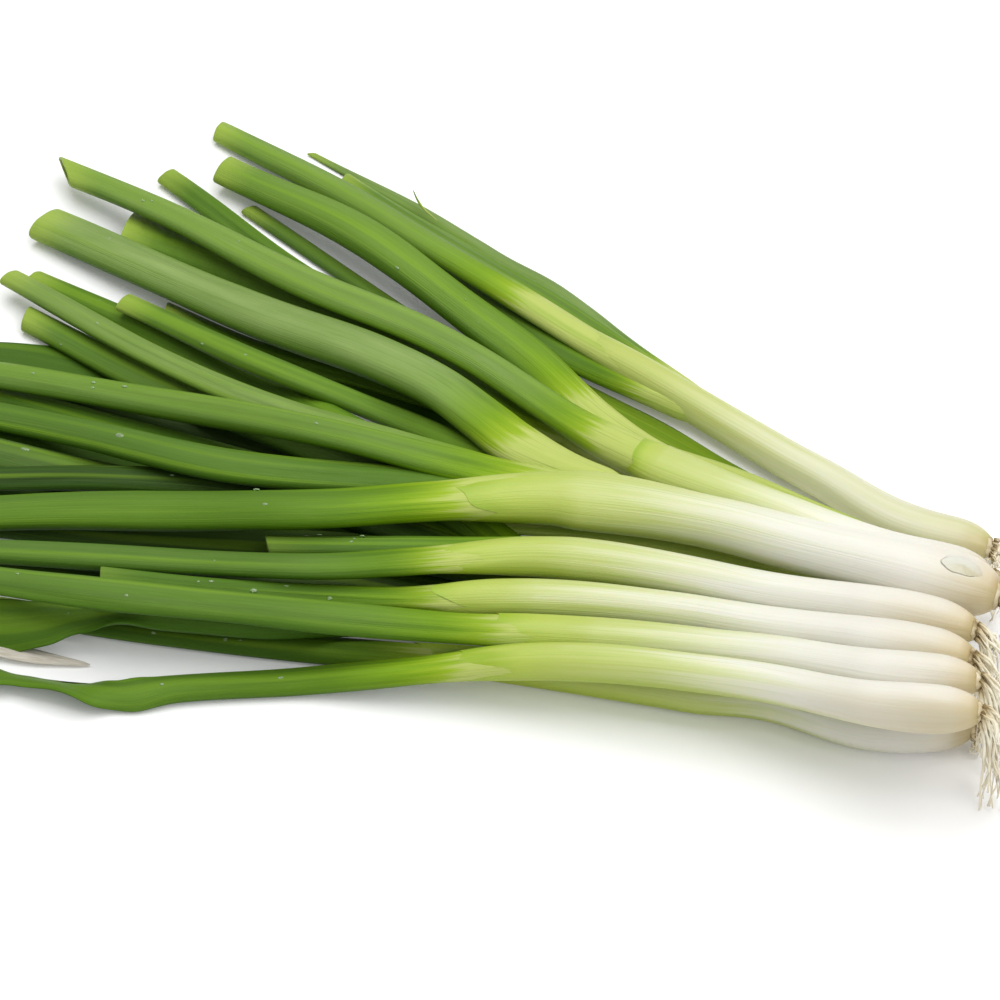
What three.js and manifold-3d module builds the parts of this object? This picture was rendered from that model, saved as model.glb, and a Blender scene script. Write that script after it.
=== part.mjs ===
// A bunch of spring onions lying on a table, millimetres, +Z up.
// The bulbs and roots lie at +X and the cut leaves fan out towards -X.
// Every onion is a white shank, a spray of green leaves and a tuft of roots.
import * as THREE from 'three';
import * as BufferGeometryUtils from 'three/addons/utils/BufferGeometryUtils.js';
import Module from 'manifold-3d';

const wasm = await Module();
wasm.setup();

// ---------------------------------------------------------------- driving dimensions

const STEP = 5;               // spacing of the stations along a shank or leaf
const GAP = 0.8;              // clear space kept between two onions
const PRESS = 0.35;           // how far a round underside is pressed flat on the table
const JOINT_GAP = 0.3;        // clear space between a shank and its leaves or roots

const SHANK_SIDES = 10;
const BULB_SWELL = 0.14;      // how much the bulb is wider than the shank
const BULB_PLACE = 16;        // where it is widest, from the root end
const BULB_SPREAD = 14;
const BULB_ROUNDING = 9;      // length over which the root end is rounded off
const FLARE_LENGTH = 34;      // an onion's flare widens the shank over this length to its neck

const LEAF_SIDES = 8;
const LEAF_RING = 15;         // spacing of a leaf's rings
const LEAF_FLATNESS = 0.6;    // height of a leaf over its width
const BASE_WIDTH = 0.88;      // a leaf's width where it leaves its shank, over the neck's
const BASE_HEIGHT = 0.8;
const BLUNT = 0.15;           // how much narrower a cut end is
const POINTED = 0.7;          // how much narrower a pointed end is
const NECK_LENGTH = 30;       // a leaf grows out of its sheath over this length
const TIP_LENGTH = 60;        // a leaf narrows over this length
const LEAF_WALL = 0.75;       // wall of the hollow leaf at its cut end
const HOLLOW_DEPTH = 11;      // depth of the hollow that a cut end shows

const ROOT_SIDES = 3;
const ROOT_WIDTH = 1;
const ROOT_REST = 0.5;        // height of the middle of a root that lies on the table
const PLATE_THICKNESS = 1.8;  // the hard plate that the roots grow from
const PLATE_WIDTH = 6.6;
const PLATE_TAPER = 0.8;      // width of its outer face over that of its inner one
const ROOTED_RADIUS = 2.3;    // the roots grow from this much of the plate
const ROOT_WAVE = 0.5;
const TUFT_HALF_WIDTH = 4;    // a tuft keeps within this distance of its onion's middle
const FIRST_SEED = 12;

// Routes run in [x, y, z]: a shank's from the root end to the neck, a leaf's on from the neck.
// A chain of a higher layer lies on those of the lower ones that it crosses.
// fall is how far a tuft reaches before its roots hang down to the table, and flare is how much
// a neck is spread by the leaves that part in it.
const ONIONS = [
  { // front, on the table
    layer: 0, bulb: 10.5, neck: 8.5, roots: 5, fall: 3,
    route: [[132, -38, 5], [108, -46.5, 5], [84, -46.5, 5], [60, -52, 5], [35, -54, 4.5]],
    leaves: [
      { layer: 4, width: 8, route: [[-1, -60, 3], [-34, -67, 2], [-66, -74, 2], [-101, -79, 2]] },
    ],
  },
  { // under the front ones
    layer: -1, bulb: 9.5, neck: 8.5, roots: 4, fall: 3,
    route: [[122, -33, 4.7], [97, -34, 4.7], [73, -38, 4.5], [30, -44, 4]],
    leaves: [
      { layer: 4.1, width: 8.4, route: [[-10, -40, 2], [-48, -52, 2], [-86, -62, 2], [-126, -70, 2]] },
      { layer: 4.2, width: 8, route: [[-9, -38, 2], [-48, -47, 2], [-82, -55, 2], [-118, -63, 2]] },
      { layer: 5, width: 9.6,
        route: [[2, -47, 5], [-31, -60, 4], [-62, -68, 3], [-92, -83, 3], [-122, -94, 2]] },
    ],
  },
  { // under the middle ones
    layer: -2, bulb: 9.5, neck: 8.5, roots: 4, fall: 3,
    route: [[117, -19, 4.7], [97, -19, 4.7], [73, -22, 4.5], [28, -27, 4]],
    leaves: [
      { layer: 3.4, width: 9.4, route: [[-12, -29, 5], [-52, -38, 3], [-91, -48, 2], [-132, -56, 2]] },
      { layer: 3.3, width: 11.6, route: [[-14, -26, 2], [-57, -27, 2], [-100, -29, 2], [-145, -31, 2]] },
      { layer: 3, width: 9, route: [[-12, -15, 2], [-55, -12, 2], [-98, -12, 2], [-141, -10, 2]] },
      { layer: 3.1, width: 9.5, route: [[-10, -7, 2], [-52, 0, 2], [-93, 6, 2], [-138, 19, 2]] },
      { layer: 2.95, width: 8.8, route: [[-11, -6, 2], [-50, -6, 2], [-88, -5, 2], [-128, -1, 2]] },
      { layer: 3.35, width: 8.6, route: [[-12, -20, 2], [-54, -20, 2], [-92, -28, 2], [-132, -42, 2]] },
      { layer: 3.2, width: 7.4, route: [[-11, -2, 2], [-54, 12, 2], [-97, 24, 2], [-143, 33, 2]] },
    ],
  },
  { // under the big one
    layer: -3, bulb: 8.5, neck: 7.5, roots: 4, fall: 3,
    route: [[110, -2, 4.3], [90, -1, 4.3], [66, 7, 4.2], [42, 14, 4], [18, 21, 4]],
    leaves: [
      { layer: 1.1, width: 5, route: [[-10, 37, 2], [-40, 51, 2], [-69, 64, 1.5], [-100, 79, 1.5]] },
      { layer: 1.2, width: 7.4, route: [[-16, 34, 2], [-52, 49, 2], [-88, 64, 2], [-126, 83, 2]] },
      { layer: 1.4, width: 13, route: [[-17, 32, 3], [-53, 45, 3], [-89, 56, 2], [-127, 61, 2]] },
      { layer: 1.3, width: 6.6, route: [[-12, 25, 2], [-43, 27, 2], [-73, 28, 2], [-105, 34, 2]] },
    ],
  },
  { // back, on the table
    layer: 0, bulb: 10.5, neck: 9.5, roots: 6, fall: 4,
    route: [[120, 21, 5], [98, 21, 5.3], [76, 29, 5.5], [54, 36, 6], [32, 45, 6]],
    leaves: [
      { layer: 2.4, width: 8.4, route: [[-4, 60, 5], [-41, 74, 6], [-79, 92, 3], [-120, 105, 2]] },
      { layer: 2.1, width: 5.8, point: true,
        route: [[2, 70, 2], [-29, 81, 1.5], [-60, 95, 1.5], [-93, 106, 1.5]] },
      { layer: 2.2, width: 7.4, route: [[5, 65, 2], [-23, 74, 2], [-51, 85, 2], [-80, 98, 2]] },
      { layer: 2.3, width: 8.4, route: [[10, 46, 3], [-9, 57, 2], [-32, 66, 2], [-56, 77, 2]] },
    ],
  },
  { // in front of the back one
    layer: 6, bulb: 10.5, neck: 9.5, flare: 0.4, roots: 6, fall: 4,
    route: [[122, 10, 6], [102, 7, 8], [81, 7, 11], [60, 9, 13], [38, 10, 14]],
    leaves: [
      { layer: 6.1, width: 11.6, route: [[1, 40, 6], [-36, 62, 3], [-73, 79, 3], [-112, 91, 2]] },
      { layer: 6.2, width: 9.2,
        route: [[0, 29, 9], [-36, 43, 7], [-72, 52, 6], [-111, 64, 5], [-151, 73, 4]] },
    ],
  },
  { // upper row, front
    layer: 12, bulb: 10.2, neck: 8.5, flare: 0.15, roots: 7, fall: 8,
    route: [[132, -42, 16], [109, -48, 16], [85, -49.5, 15], [62, -53, 15], [38, -57, 14]],
    leaves: [
      { layer: 12, width: 8,
        route: [[8, -66, 8], [-22, -77, 3], [-51, -89, 2], [-62, -95, 2], [-82, -98, 2],
          [-115, -104, 2]] },
    ],
  },
  {
    layer: 11, bulb: 9.8, neck: 8.5, flare: 0.15, roots: 7, fall: 9,
    route: [[129, -32, 15], [107, -37, 15], [85, -40, 15], [64, -43.5, 14.5], [43, -48, 14]],
    leaves: [
      { layer: 11.2, width: 9.2, route: [[0, -56, 10], [-41, -64, 9], [-83, -71, 8], [-129, -76, 5]] },
    ],
  },
  {
    layer: 10, bulb: 9.8, neck: 9, flare: 0.15, roots: 7, fall: 9,
    route: [[126, -25, 14.5], [102, -27.5, 14.5], [76, -32, 14.5], [50, -35, 14], [24, -39, 13]],
    leaves: [
      { layer: 10.5, width: 6.4,
        route: [[5, -45, 9], [-26, -51, 6], [-54, -56.5, 5], [-80, -61.5, 5]] },
    ],
  },
  {
    layer: 9, bulb: 10, neck: 10, flare: 0.1, roots: 7, fall: 9,
    route: [[125, -17, 15.5], [101, -18.5, 15.5], [77, -22, 15.5], [54, -23.5, 15], [29, -25, 15]],
    leaves: [
      { layer: 9, width: 8, route: [[-8, -37, 10], [-48, -48, 7], [-86, -57.5, 5], [-124, -68.5, 5]] },
      { layer: 8.8, width: 7, route: [[-3, -29, 9], [-24, -34, 8], [-46, -39, 6]] },
    ],
  },
  { // the big one, on top
    layer: 8, bulb: 14, neck: 12.5, flare: 0.35, roots: 9, fall: 9,
    route: [[128, -6, 17.5], [103, -6, 18], [77, -6, 17.5], [51, -5.5, 17], [25, -7.5, 17]],
    leaves: [
      { layer: 7.5, width: 13.6,
        route: [[-7, 15, 12], [-42, 28, 9], [-75, 34, 8], [-111, 42, 7], [-147, 50, 6]] },
      { layer: 7.3, width: 7.4, route: [[-17, 1, 10], [-59, 4, 8], [-101, 13, 6], [-147, 29, 5]] },
      { layer: 7.2, width: 7.4, route: [[-9, 6, 10], [-45, 16, 5], [-79, 22, 4], [-115, 30, 5]] },
      { layer: 7.4, width: 9.2, route: [[-19, -3, 12], [-65, -2, 8], [-109, -4, 6], [-155, -9, 4]] },
      { layer: 7.1, width: 10, route: [[-18, -9, 8], [-61, -15, 4], [-105, -16, 3], [-151, -20, 2]] },
      { layer: 9.5, width: 11.8,
        route: [[-14, -20, 12], [-55, -34, 10], [-94, -48, 9], [-135, -63, 6]] },
    ],
  },
];

// ---------------------------------------------------------------- chains of stations

function smoothstep(t) {
  return t * t * (3 - 2 * t);
}

function clamp01(t) {
  return Math.min(Math.max(t, 0), 1);
}

// Half width and half height of a shank: a swollen bulb, rounded off at the root end.
function shankHalf(onion, s, length) {
  const taper = onion.bulb + (onion.neck - onion.bulb) * s / length;
  const swell = 1 + BULB_SWELL * Math.exp(-(((s - BULB_PLACE) / BULB_SPREAD) ** 2));
  const open = 1 - clamp01(1 - s / BULB_ROUNDING) ** 2 * 0.75;
  const half = taper / 2 * swell * Math.sqrt(open);
  const flare = 1 + (onion.flare ?? 0) * smoothstep(clamp01(1 - (length - s) / FLARE_LENGTH));
  return { across: half * flare, up: half };
}

// Half width and half height of a leaf: round as the neck at first, then flat and narrowing.
function leafHalf(onion, leaf, s, length) {
  const grown = smoothstep(clamp01(s / NECK_LENGTH));
  const narrowing = clamp01((s - length + TIP_LENGTH) / TIP_LENGTH);
  const tip = 1 - (leaf.point ? POINTED : BLUNT) * narrowing;
  const base = onion.neck * (1 + (onion.flare ?? 0) / (onion.leaves.length > 1 ? 2 : 1));
  return {
    across: (base * BASE_WIDTH * (1 - grown) + leaf.width * grown) / 2 * tip,
    up: (onion.neck * BASE_HEIGHT * (1 - grown) + leaf.width * LEAF_FLATNESS * grown) / 2 * tip,
  };
}

// Stations evenly spaced along a smooth curve through the points.
function makeChain(points, owner, layer, isLeaf, half) {
  const curve = new THREE.CatmullRomCurve3(points, false, 'centripetal');
  const count = Math.round(curve.getLength() / STEP);
  const length = count * STEP;
  const stations = curve.getSpacedPoints(count).map((laid, i) => ({
    laid,
    lift: 0,
    s: i * STEP,
    ...half(i * STEP, length),
  }));
  return { owner, layer, isLeaf, length, stations, half: (s) => half(s, length) };
}

function vector([x, y, z]) {
  return new THREE.Vector3(x, y, z);
}

const shanks = ONIONS.map((onion) => makeChain(
  onion.route.map(vector), onion, onion.layer, false, (s, length) => shankHalf(onion, s, length)));

const leaves = ONIONS.flatMap((onion, k) => onion.leaves.map((leaf) => {
  const end = shanks[k].stations.slice(-2).map((station) => station.laid);
  const onward = end[1].clone().sub(end[0]).normalize().multiplyScalar(8).add(end[1]);
  const points = [end[1], onward, ...leaf.route.map(vector)];
  const half = (s, length) => leafHalf(onion, leaf, s, length);
  return Object.assign(makeChain(points, onion, leaf.layer, true, half), { leaf, shank: shanks[k] });
}));

const chains = [...shanks, ...leaves];

// ---------------------------------------------------------------- settling
// The chains are laid close by hand. Here they push each other apart, as round things in a heap
// do, and leaves sink onto what is below them, until none crosses another. A chain that is lifted
// also slides forwards.

const LIFT = new THREE.Vector3(0.34, -0.94, 1);
const SETTLE_ROUNDS = 300;
const SINK = 0.06;            // how far a free leaf sinks in the first round
const RISING_SHARE = 0.75;    // of a push, taken by the upper of the two
const LARGEST_MOVE = 0.4;     // in one round
const STEEPEST = 2;           // change of lift from one station to the next
const HELD = 6;               // stations of a leaf that keep to its neck
const MEETING_REACH = 26;     // stations laid farther apart than this never meet
const PARTED = 42;            // the leaves of one onion are apart from here on
const EAGERNESS = 1.4;        // move over the mean push
const LEAF_BLURS = [3, 2];    // stations on each side over which a move is shared
const SHANK_BLURS = [5, 5];
const EASING_BLURS = [3, 3];  // the same for the lift of a leaf that has settled

// Stations of two chains that can meet, the upper one first. The leaves of one onion part
// beyond its neck.
function meetingPairs() {
  const pairs = [];
  const inNeck = (chain, station) => chain.isLeaf && station.s < PARTED;
  const rising = [...chains].sort((a, b) => a.layer - b.layer);
  rising.forEach((lower, i) => rising.slice(i + 1).forEach((upper) => {
    for (const below of lower.stations) {
      for (const above of upper.stations) {
        const oneSheath = lower.owner === upper.owner && (inNeck(lower, below) || inNeck(upper, above));
        if (!oneSheath && above.laid.distanceTo(below.laid) < MEETING_REACH) {
          pairs.push([above, below]);
        }
      }
    }
  }));
  return pairs;
}

// Mean of each number and its neighbours within the window, for each window in turn.
function blurred(numbers, windows) {
  return windows.reduce((rough, window) => rough.map((_, i) => {
    const near = rough.slice(Math.max(i - window, 0), i + window + 1);
    return near.reduce((sum, number) => sum + number, 0) / near.length;
  }), numbers);
}

// Two stations closer than their ovals allow move apart along LIFT.
function pushApart(pairs) {
  for (const [above, below] of pairs) {
    const apart = above.place.clone().sub(below.place);
    const wide = above.across + below.across + GAP;
    const high = above.up + below.up + GAP;
    const scaled = new THREE.Vector3(1 / wide, 1 / wide, 1 / high);
    apart.multiply(scaled);
    const lift = LIFT.clone().multiply(scaled);
    const short = 1 - apart.lengthSq();
    if (short > 0) {
      const along = apart.dot(lift);
      const needed = (Math.sqrt(along ** 2 + short * lift.lengthSq()) - along) / lift.lengthSq();
      above.push += needed * RISING_SHARE;
      below.push -= needed * (1 - RISING_SHARE);
      above.touches += 1;
      below.touches += 1;
    }
  }
}

// The lift that brings a station down on the table.
function lowestLift(station) {
  return station.up - PRESS - station.laid.z;
}

function moveChain(chain, sink) {
  const moves = chain.stations.map((station) => {
    const free = chain.isLeaf && station.s > NECK_LENGTH ? sink : 0;
    const move = station.push * EAGERNESS / Math.max(station.touches, 1) - free;
    return Math.min(Math.max(move, -LARGEST_MOVE), LARGEST_MOVE);
  });
  const smooth = blurred(moves, chain.isLeaf ? LEAF_BLURS : SHANK_BLURS);
  chain.stations.forEach((station, i) => {
    station.lift = Math.max(station.lift + smooth[i], lowestLift(station));
    if (i > 0) {
      const before = chain.stations[i - 1].lift;
      station.lift = Math.min(Math.max(station.lift, before - STEEPEST), before + STEEPEST);
    }
  });
}

// A leaf's first stations go on in line with the neck that it grows from.
function holdToNeck(chain) {
  const [before, neck] = chain.shank.stations.slice(-2).map((station) => station.lift);
  chain.stations.slice(0, HELD).forEach((station, i) => {
    const inLine = neck + (neck - before) * Math.min(i, 2);
    station.lift += (inLine - station.lift) * clamp01((HELD - i) / (HELD - 2));
  });
}

// A leaf is too stiff to follow every small step of what it lies on.
function easeLeaf(chain) {
  const eased = blurred(chain.stations.map((station) => station.lift), EASING_BLURS);
  chain.stations.forEach((station, i) => {
    station.lift = Math.max(eased[i], lowestLift(station));
  });
}

function placeStations() {
  for (const station of chains.flatMap((chain) => chain.stations)) {
    station.place = station.laid.clone().addScaledVector(LIFT, station.lift);
    station.push = 0;
    station.touches = 0;
  }
}

function settle() {
  const pairs = meetingPairs();
  for (let round = 0; round < SETTLE_ROUNDS; round += 1) {
    placeStations();
    pushApart(pairs);
    chains.forEach((chain) => moveChain(chain, SINK * (1 - round / SETTLE_ROUNDS)));
    leaves.forEach(holdToNeck);
  }
  leaves.forEach(easeLeaf);
  leaves.forEach(holdToNeck);
  placeStations();
}

settle();

for (const chain of chains) {
  chain.curve = new THREE.CatmullRomCurve3(chain.stations.map((station) => station.place));
}

// ---------------------------------------------------------------- solids

const UP = new THREE.Vector3(0, 0, 1);

// The middle of a chain at a distance s, with its sideways and upward directions.
function frameAt(chain, s) {
  const inside = clamp01(s / chain.length);
  const along = chain.curve.getTangent(inside);
  const side = new THREE.Vector3().crossVectors(UP, along).normalize();
  const middle = chain.curve.getPoint(inside).addScaledVector(along, s - inside * chain.length);
  return { middle, side, up: new THREE.Vector3().crossVectors(along, side) };
}

function toManifold(geometry) {
  geometry.deleteAttribute('normal');
  geometry.deleteAttribute('uv');
  const merged = BufferGeometryUtils.mergeVertices(geometry, 1e-4);
  const index = Array.from(merged.index.array);
  const kept = [];
  for (let i = 0; i < index.length; i += 3) {
    const [a, b, c] = index.slice(i, i + 3);
    if (a !== b && b !== c && c !== a) {
      kept.push(a, c, b);
    }
  }
  return new wasm.Manifold(new wasm.Mesh({
    numProp: 3,
    vertProperties: new Float32Array(merged.attributes.position.array),
    triVerts: new Uint32Array(kept),
  }));
}

// A round solid through the rings, bent along the chain and given its half sizes there.
function sweep(chain, rings, sides, half) {
  const profile = [
    new THREE.Vector2(0, rings[0]),
    ...rings.map((s) => new THREE.Vector2(1, s)),
    new THREE.Vector2(0, rings.at(-1)),
  ];
  const geometry = new THREE.LatheGeometry(profile, sides, Math.PI / sides);
  const vertices = geometry.attributes.position;
  for (let i = 0; i < vertices.count; i += 1) {
    const s = vertices.getY(i);
    const { middle, side, up } = frameAt(chain, s);
    const size = half(s);
    middle.addScaledVector(side, vertices.getX(i) * size.across);
    middle.addScaledVector(up, vertices.getZ(i) * size.up);
    vertices.setXYZ(i, middle.x, middle.y, Math.max(middle.z, 0));
  }
  return toManifold(geometry);
}

// The largest body of a joined solid, without loose scraps and sealed hollows.
function oneBody(solid) {
  return solid.decompose().reduce((best, piece) => (piece.volume() > best.volume() ? piece : best));
}

function evenRings(from, to, spacing) {
  const count = Math.max(Math.round((to - from) / spacing), 1);
  return Array.from({ length: count + 1 }, (_, i) => from + (to - from) * i / count);
}

function shankSolid(chain) {
  const rounding = [0, 1.5, 4, BULB_ROUNDING];
  const rings = [...rounding, ...evenRings(BULB_PLACE, chain.length - JOINT_GAP, 14)];
  return sweep(chain, rings, SHANK_SIDES, chain.half);
}

// A leaf with its blind hollow at the cut end.
function leafSolid(chain) {
  const { length } = chain;
  const blade = sweep(chain, evenRings(3 * JOINT_GAP, length, LEAF_RING), LEAF_SIDES, chain.half);
  if (chain.leaf.point) {
    return blade;
  }
  const hollow = sweep(chain, [length - HOLLOW_DEPTH, length + 1], LEAF_SIDES, (s) => {
    const { across, up } = chain.half(Math.min(s, length));
    const open = s > length ? 1 : 0.4;
    return { across: (across - LEAF_WALL) * open, up: (up - LEAF_WALL) * open };
  });
  return blade.subtract(hollow);
}

function leavesSolid(onion) {
  const own = leaves.filter((chain) => chain.owner === onion);
  return oneBody(own.map(leafSolid).reduce((joined, solid) => joined.add(solid)));
}

// Seeded random numbers from 0 to 1.
function makeRandom(seed) {
  let state = seed;
  return () => {
    state = (state * 1664525 + 1013904223) % 4294967296;
    return state / 4294967296;
  };
}

const GOLDEN_ANGLE = Math.PI * (3 - Math.sqrt(5));

// One root leaves the plate and hangs or droops towards the table. The higher it starts, the
// farther it reaches, so that the roots of a tuft lie one over another without crossing.
function rootSolid(start, onion, k, sway, random) {
  const angle = k * GOLDEN_ANGLE;
  const spread = Math.sqrt((k + 0.5) / onion.roots);
  const sideways = Math.cos(angle) * spread;
  const upwards = Math.sin(angle) * spread;
  const top = start.z + upwards * ROOTED_RADIUS;
  const drop = Math.max(top - ROOT_REST - 2 * random(), 0);
  const points = [0, 0.25, 0.5, 0.75, 1].map((t) => {
    const out = 1 - (1 - t) ** 2;
    const wave = ROOT_WAVE * Math.sin(sway + 7 * t) * t;
    return new THREE.Vector3(
      start.x + onion.fall * (0.7 + 0.3 * upwards) * out + wave,
      start.y + sideways * (ROOTED_RADIUS + (TUFT_HALF_WIDTH - ROOTED_RADIUS) * t) + wave,
      top - drop * t * (0.4 + 0.6 * t));
  });
  const root = { curve: new THREE.CatmullRomCurve3(points), length: 1 };
  return sweep(root, evenRings(0, 1, 0.33), ROOT_SIDES, (t) => {
    const half = ROOT_WIDTH / 2 * (1 - 0.3 * t);
    return { across: half, up: half };
  });
}

function rootsSolid(chain, seed) {
  const random = makeRandom(seed);
  const onion = chain.owner;
  const plate = sweep(chain, [-JOINT_GAP - PLATE_THICKNESS, -JOINT_GAP], ROOT_SIDES * 2, (s) => {
    const half = PLATE_WIDTH / 2 * (s < -JOINT_GAP ? PLATE_TAPER : 1);
    return { across: half, up: half };
  });
  const start = frameAt(chain, -JOINT_GAP - PLATE_THICKNESS * 0.5).middle;
  const sway = 2 * Math.PI * random();
  let tuft = plate;
  for (let k = 0; k < onion.roots; k += 1) {
    tuft = tuft.add(rootSolid(start, onion, k, sway, random));
  }
  return oneBody(tuft);
}

// ---------------------------------------------------------------- meshes

const SHANK_COLOURS = ['#eceadb', '#e6ead0', '#f1efe4'];
const LEAF_COLOURS = ['#4f8a1f', '#3f7a1c', '#6a9e2c'];
const ROOT_COLOUR = '#cdb98c';

function toMesh(name, solid, color, roughness) {
  const { vertProperties, triVerts } = solid.getMesh();
  const geometry = new THREE.BufferGeometry();
  geometry.setAttribute('position', new THREE.BufferAttribute(new Float32Array(vertProperties), 3));
  geometry.setIndex(new THREE.BufferAttribute(new Uint32Array(triVerts), 1));
  geometry.computeVertexNormals();
  const material = new THREE.MeshStandardMaterial({ color, roughness, metalness: 0 });
  const mesh = new THREE.Mesh(geometry, material);
  mesh.name = name;
  return mesh;
}

const bunch = new THREE.Group();

ONIONS.forEach((onion, k) => {
  const name = `onion_${String(k + 1).padStart(2, '0')}`;
  bunch.add(
    toMesh(`${name}_shank`, shankSolid(shanks[k]), SHANK_COLOURS[k % 3], 0.35),
    toMesh(`${name}_leaves`, leavesSolid(onion), LEAF_COLOURS[k % 3], 0.45),
    toMesh(`${name}_roots`, rootsSolid(shanks[k], k + FIRST_SEED), ROOT_COLOUR, 0.85));
});

// The origin is on the table, under the middle of the bunch's box.
const middle = new THREE.Box3().setFromObject(bunch).getCenter(new THREE.Vector3());
bunch.position.set(-middle.x, -middle.y, 0);

const part = new THREE.Group();
part.add(bunch);
export default part;
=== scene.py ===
"""A loose bunch of spring onions lying on a white table, in metres, +Z up."""

import bpy
import numpy as np
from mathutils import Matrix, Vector


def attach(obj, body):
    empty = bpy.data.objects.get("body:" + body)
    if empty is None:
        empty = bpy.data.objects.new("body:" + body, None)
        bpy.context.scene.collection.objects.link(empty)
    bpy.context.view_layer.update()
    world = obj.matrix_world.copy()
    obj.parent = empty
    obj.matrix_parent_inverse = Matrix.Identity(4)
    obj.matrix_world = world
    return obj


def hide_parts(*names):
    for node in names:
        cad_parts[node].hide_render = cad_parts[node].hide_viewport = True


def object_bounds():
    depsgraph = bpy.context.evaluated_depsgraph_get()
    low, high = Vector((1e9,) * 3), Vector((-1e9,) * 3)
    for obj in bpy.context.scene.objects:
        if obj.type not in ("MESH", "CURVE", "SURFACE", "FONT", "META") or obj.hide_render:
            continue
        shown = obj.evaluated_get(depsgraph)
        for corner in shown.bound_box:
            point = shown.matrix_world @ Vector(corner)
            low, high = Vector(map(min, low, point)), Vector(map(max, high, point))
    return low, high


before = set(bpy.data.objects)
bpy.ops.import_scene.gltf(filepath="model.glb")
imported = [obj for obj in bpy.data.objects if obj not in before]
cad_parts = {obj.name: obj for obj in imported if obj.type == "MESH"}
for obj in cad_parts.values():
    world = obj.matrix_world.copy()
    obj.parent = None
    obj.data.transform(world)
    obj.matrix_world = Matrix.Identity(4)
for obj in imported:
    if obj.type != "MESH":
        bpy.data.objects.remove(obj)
cad_box = [list(corner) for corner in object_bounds()]

# ---------------------------------------------------------------- camera, table and light
# The bunch lies on a plain white table top that runs on out of sight. A wide soft lamp hangs
# above and a little behind it, a weaker one to the right in front, and the room is white.

# What the camera looks at, and the place in the frame where the routes below have their zero.
BUNCH_MIDDLE = np.array([0.0039, -0.00073, 0.0])
AZIMUTH, ELEVATION = np.radians(20), np.radians(45)
CAMERA_DISTANCE = 1.1
TABLE_REACH = 4
TABLE_DROP = 0.0002
towards_camera = Vector((
    np.sin(AZIMUTH) * np.cos(ELEVATION),
    -np.cos(AZIMUTH) * np.cos(ELEVATION),
    np.sin(ELEVATION)))

camera = bpy.data.objects.new("camera", bpy.data.cameras.new("camera"))
bpy.context.scene.collection.objects.link(camera)
camera.location = Vector(BUNCH_MIDDLE) + CAMERA_DISTANCE * towards_camera
camera.rotation_mode = "QUATERNION"
camera.rotation_quaternion = (-towards_camera).to_track_quat("-Z", "Y")
camera.data.sensor_width = 36
camera.data.lens = 158.4
bpy.context.scene.camera = camera

table_corners = [
    (x * TABLE_REACH, y * TABLE_REACH, -TABLE_DROP) for x, y in ((-1, -1), (1, -1), (1, 1), (-1, 1))]
table_sheet = bpy.data.meshes.new("table_top")
table_sheet.from_pydata(table_corners, [], [(0, 1, 2, 3)])
table_top = bpy.data.objects.new("table_top", table_sheet)
bpy.context.scene.collection.objects.link(table_top)
table_paint = bpy.data.materials.new("white_table")
table_paint.use_nodes = True
table_surface = table_paint.node_tree.nodes["Principled BSDF"].inputs
table_surface["Base Color"].default_value = (0.9, 0.9, 0.9, 1)
table_surface["Roughness"].default_value = 0.6
table_surface["Specular IOR Level"].default_value = 0.1
table_surface["Emission Color"].default_value = (1, 1, 1, 1)
table_surface["Emission Strength"].default_value = 0.1
table_sheet.materials.append(table_paint)


def hang_lamp(name, place, size, power):
    """A square soft lamp at a place, turned to face the bunch: it looks from there to zero."""
    lamp = bpy.data.objects.new(name, bpy.data.lights.new(name, "AREA"))
    lamp.data.size = size
    lamp.data.energy = power
    lamp.location = place
    lamp.rotation_mode = "QUATERNION"
    lamp.rotation_quaternion = (-Vector(place)).to_track_quat("-Z", "Y")
    bpy.context.scene.collection.objects.link(lamp)


hang_lamp("lamp_above", place=(0.0, 0.24, 1.15), size=1.3, power=14.6)
hang_lamp("lamp_right", place=(0.8, -0.45, 1.0), size=0.8, power=5.2)
world = bpy.data.worlds.new("studio")
world.use_nodes = True
world.node_tree.nodes["Background"].inputs["Color"].default_value = (1, 1, 1, 1)
world.node_tree.nodes["Background"].inputs["Strength"].default_value = 0.36
bpy.context.scene.world = world
bpy.context.scene.view_settings.view_transform = "Standard"

# ---------------------------------------------------------------- white shanks
# Each shank is the white stem of one onion with its bulb: a moist, faintly ribbed skin, grown
# as one piece, cream at the root end and yellow-green at the neck, where its rim stands free.

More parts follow.
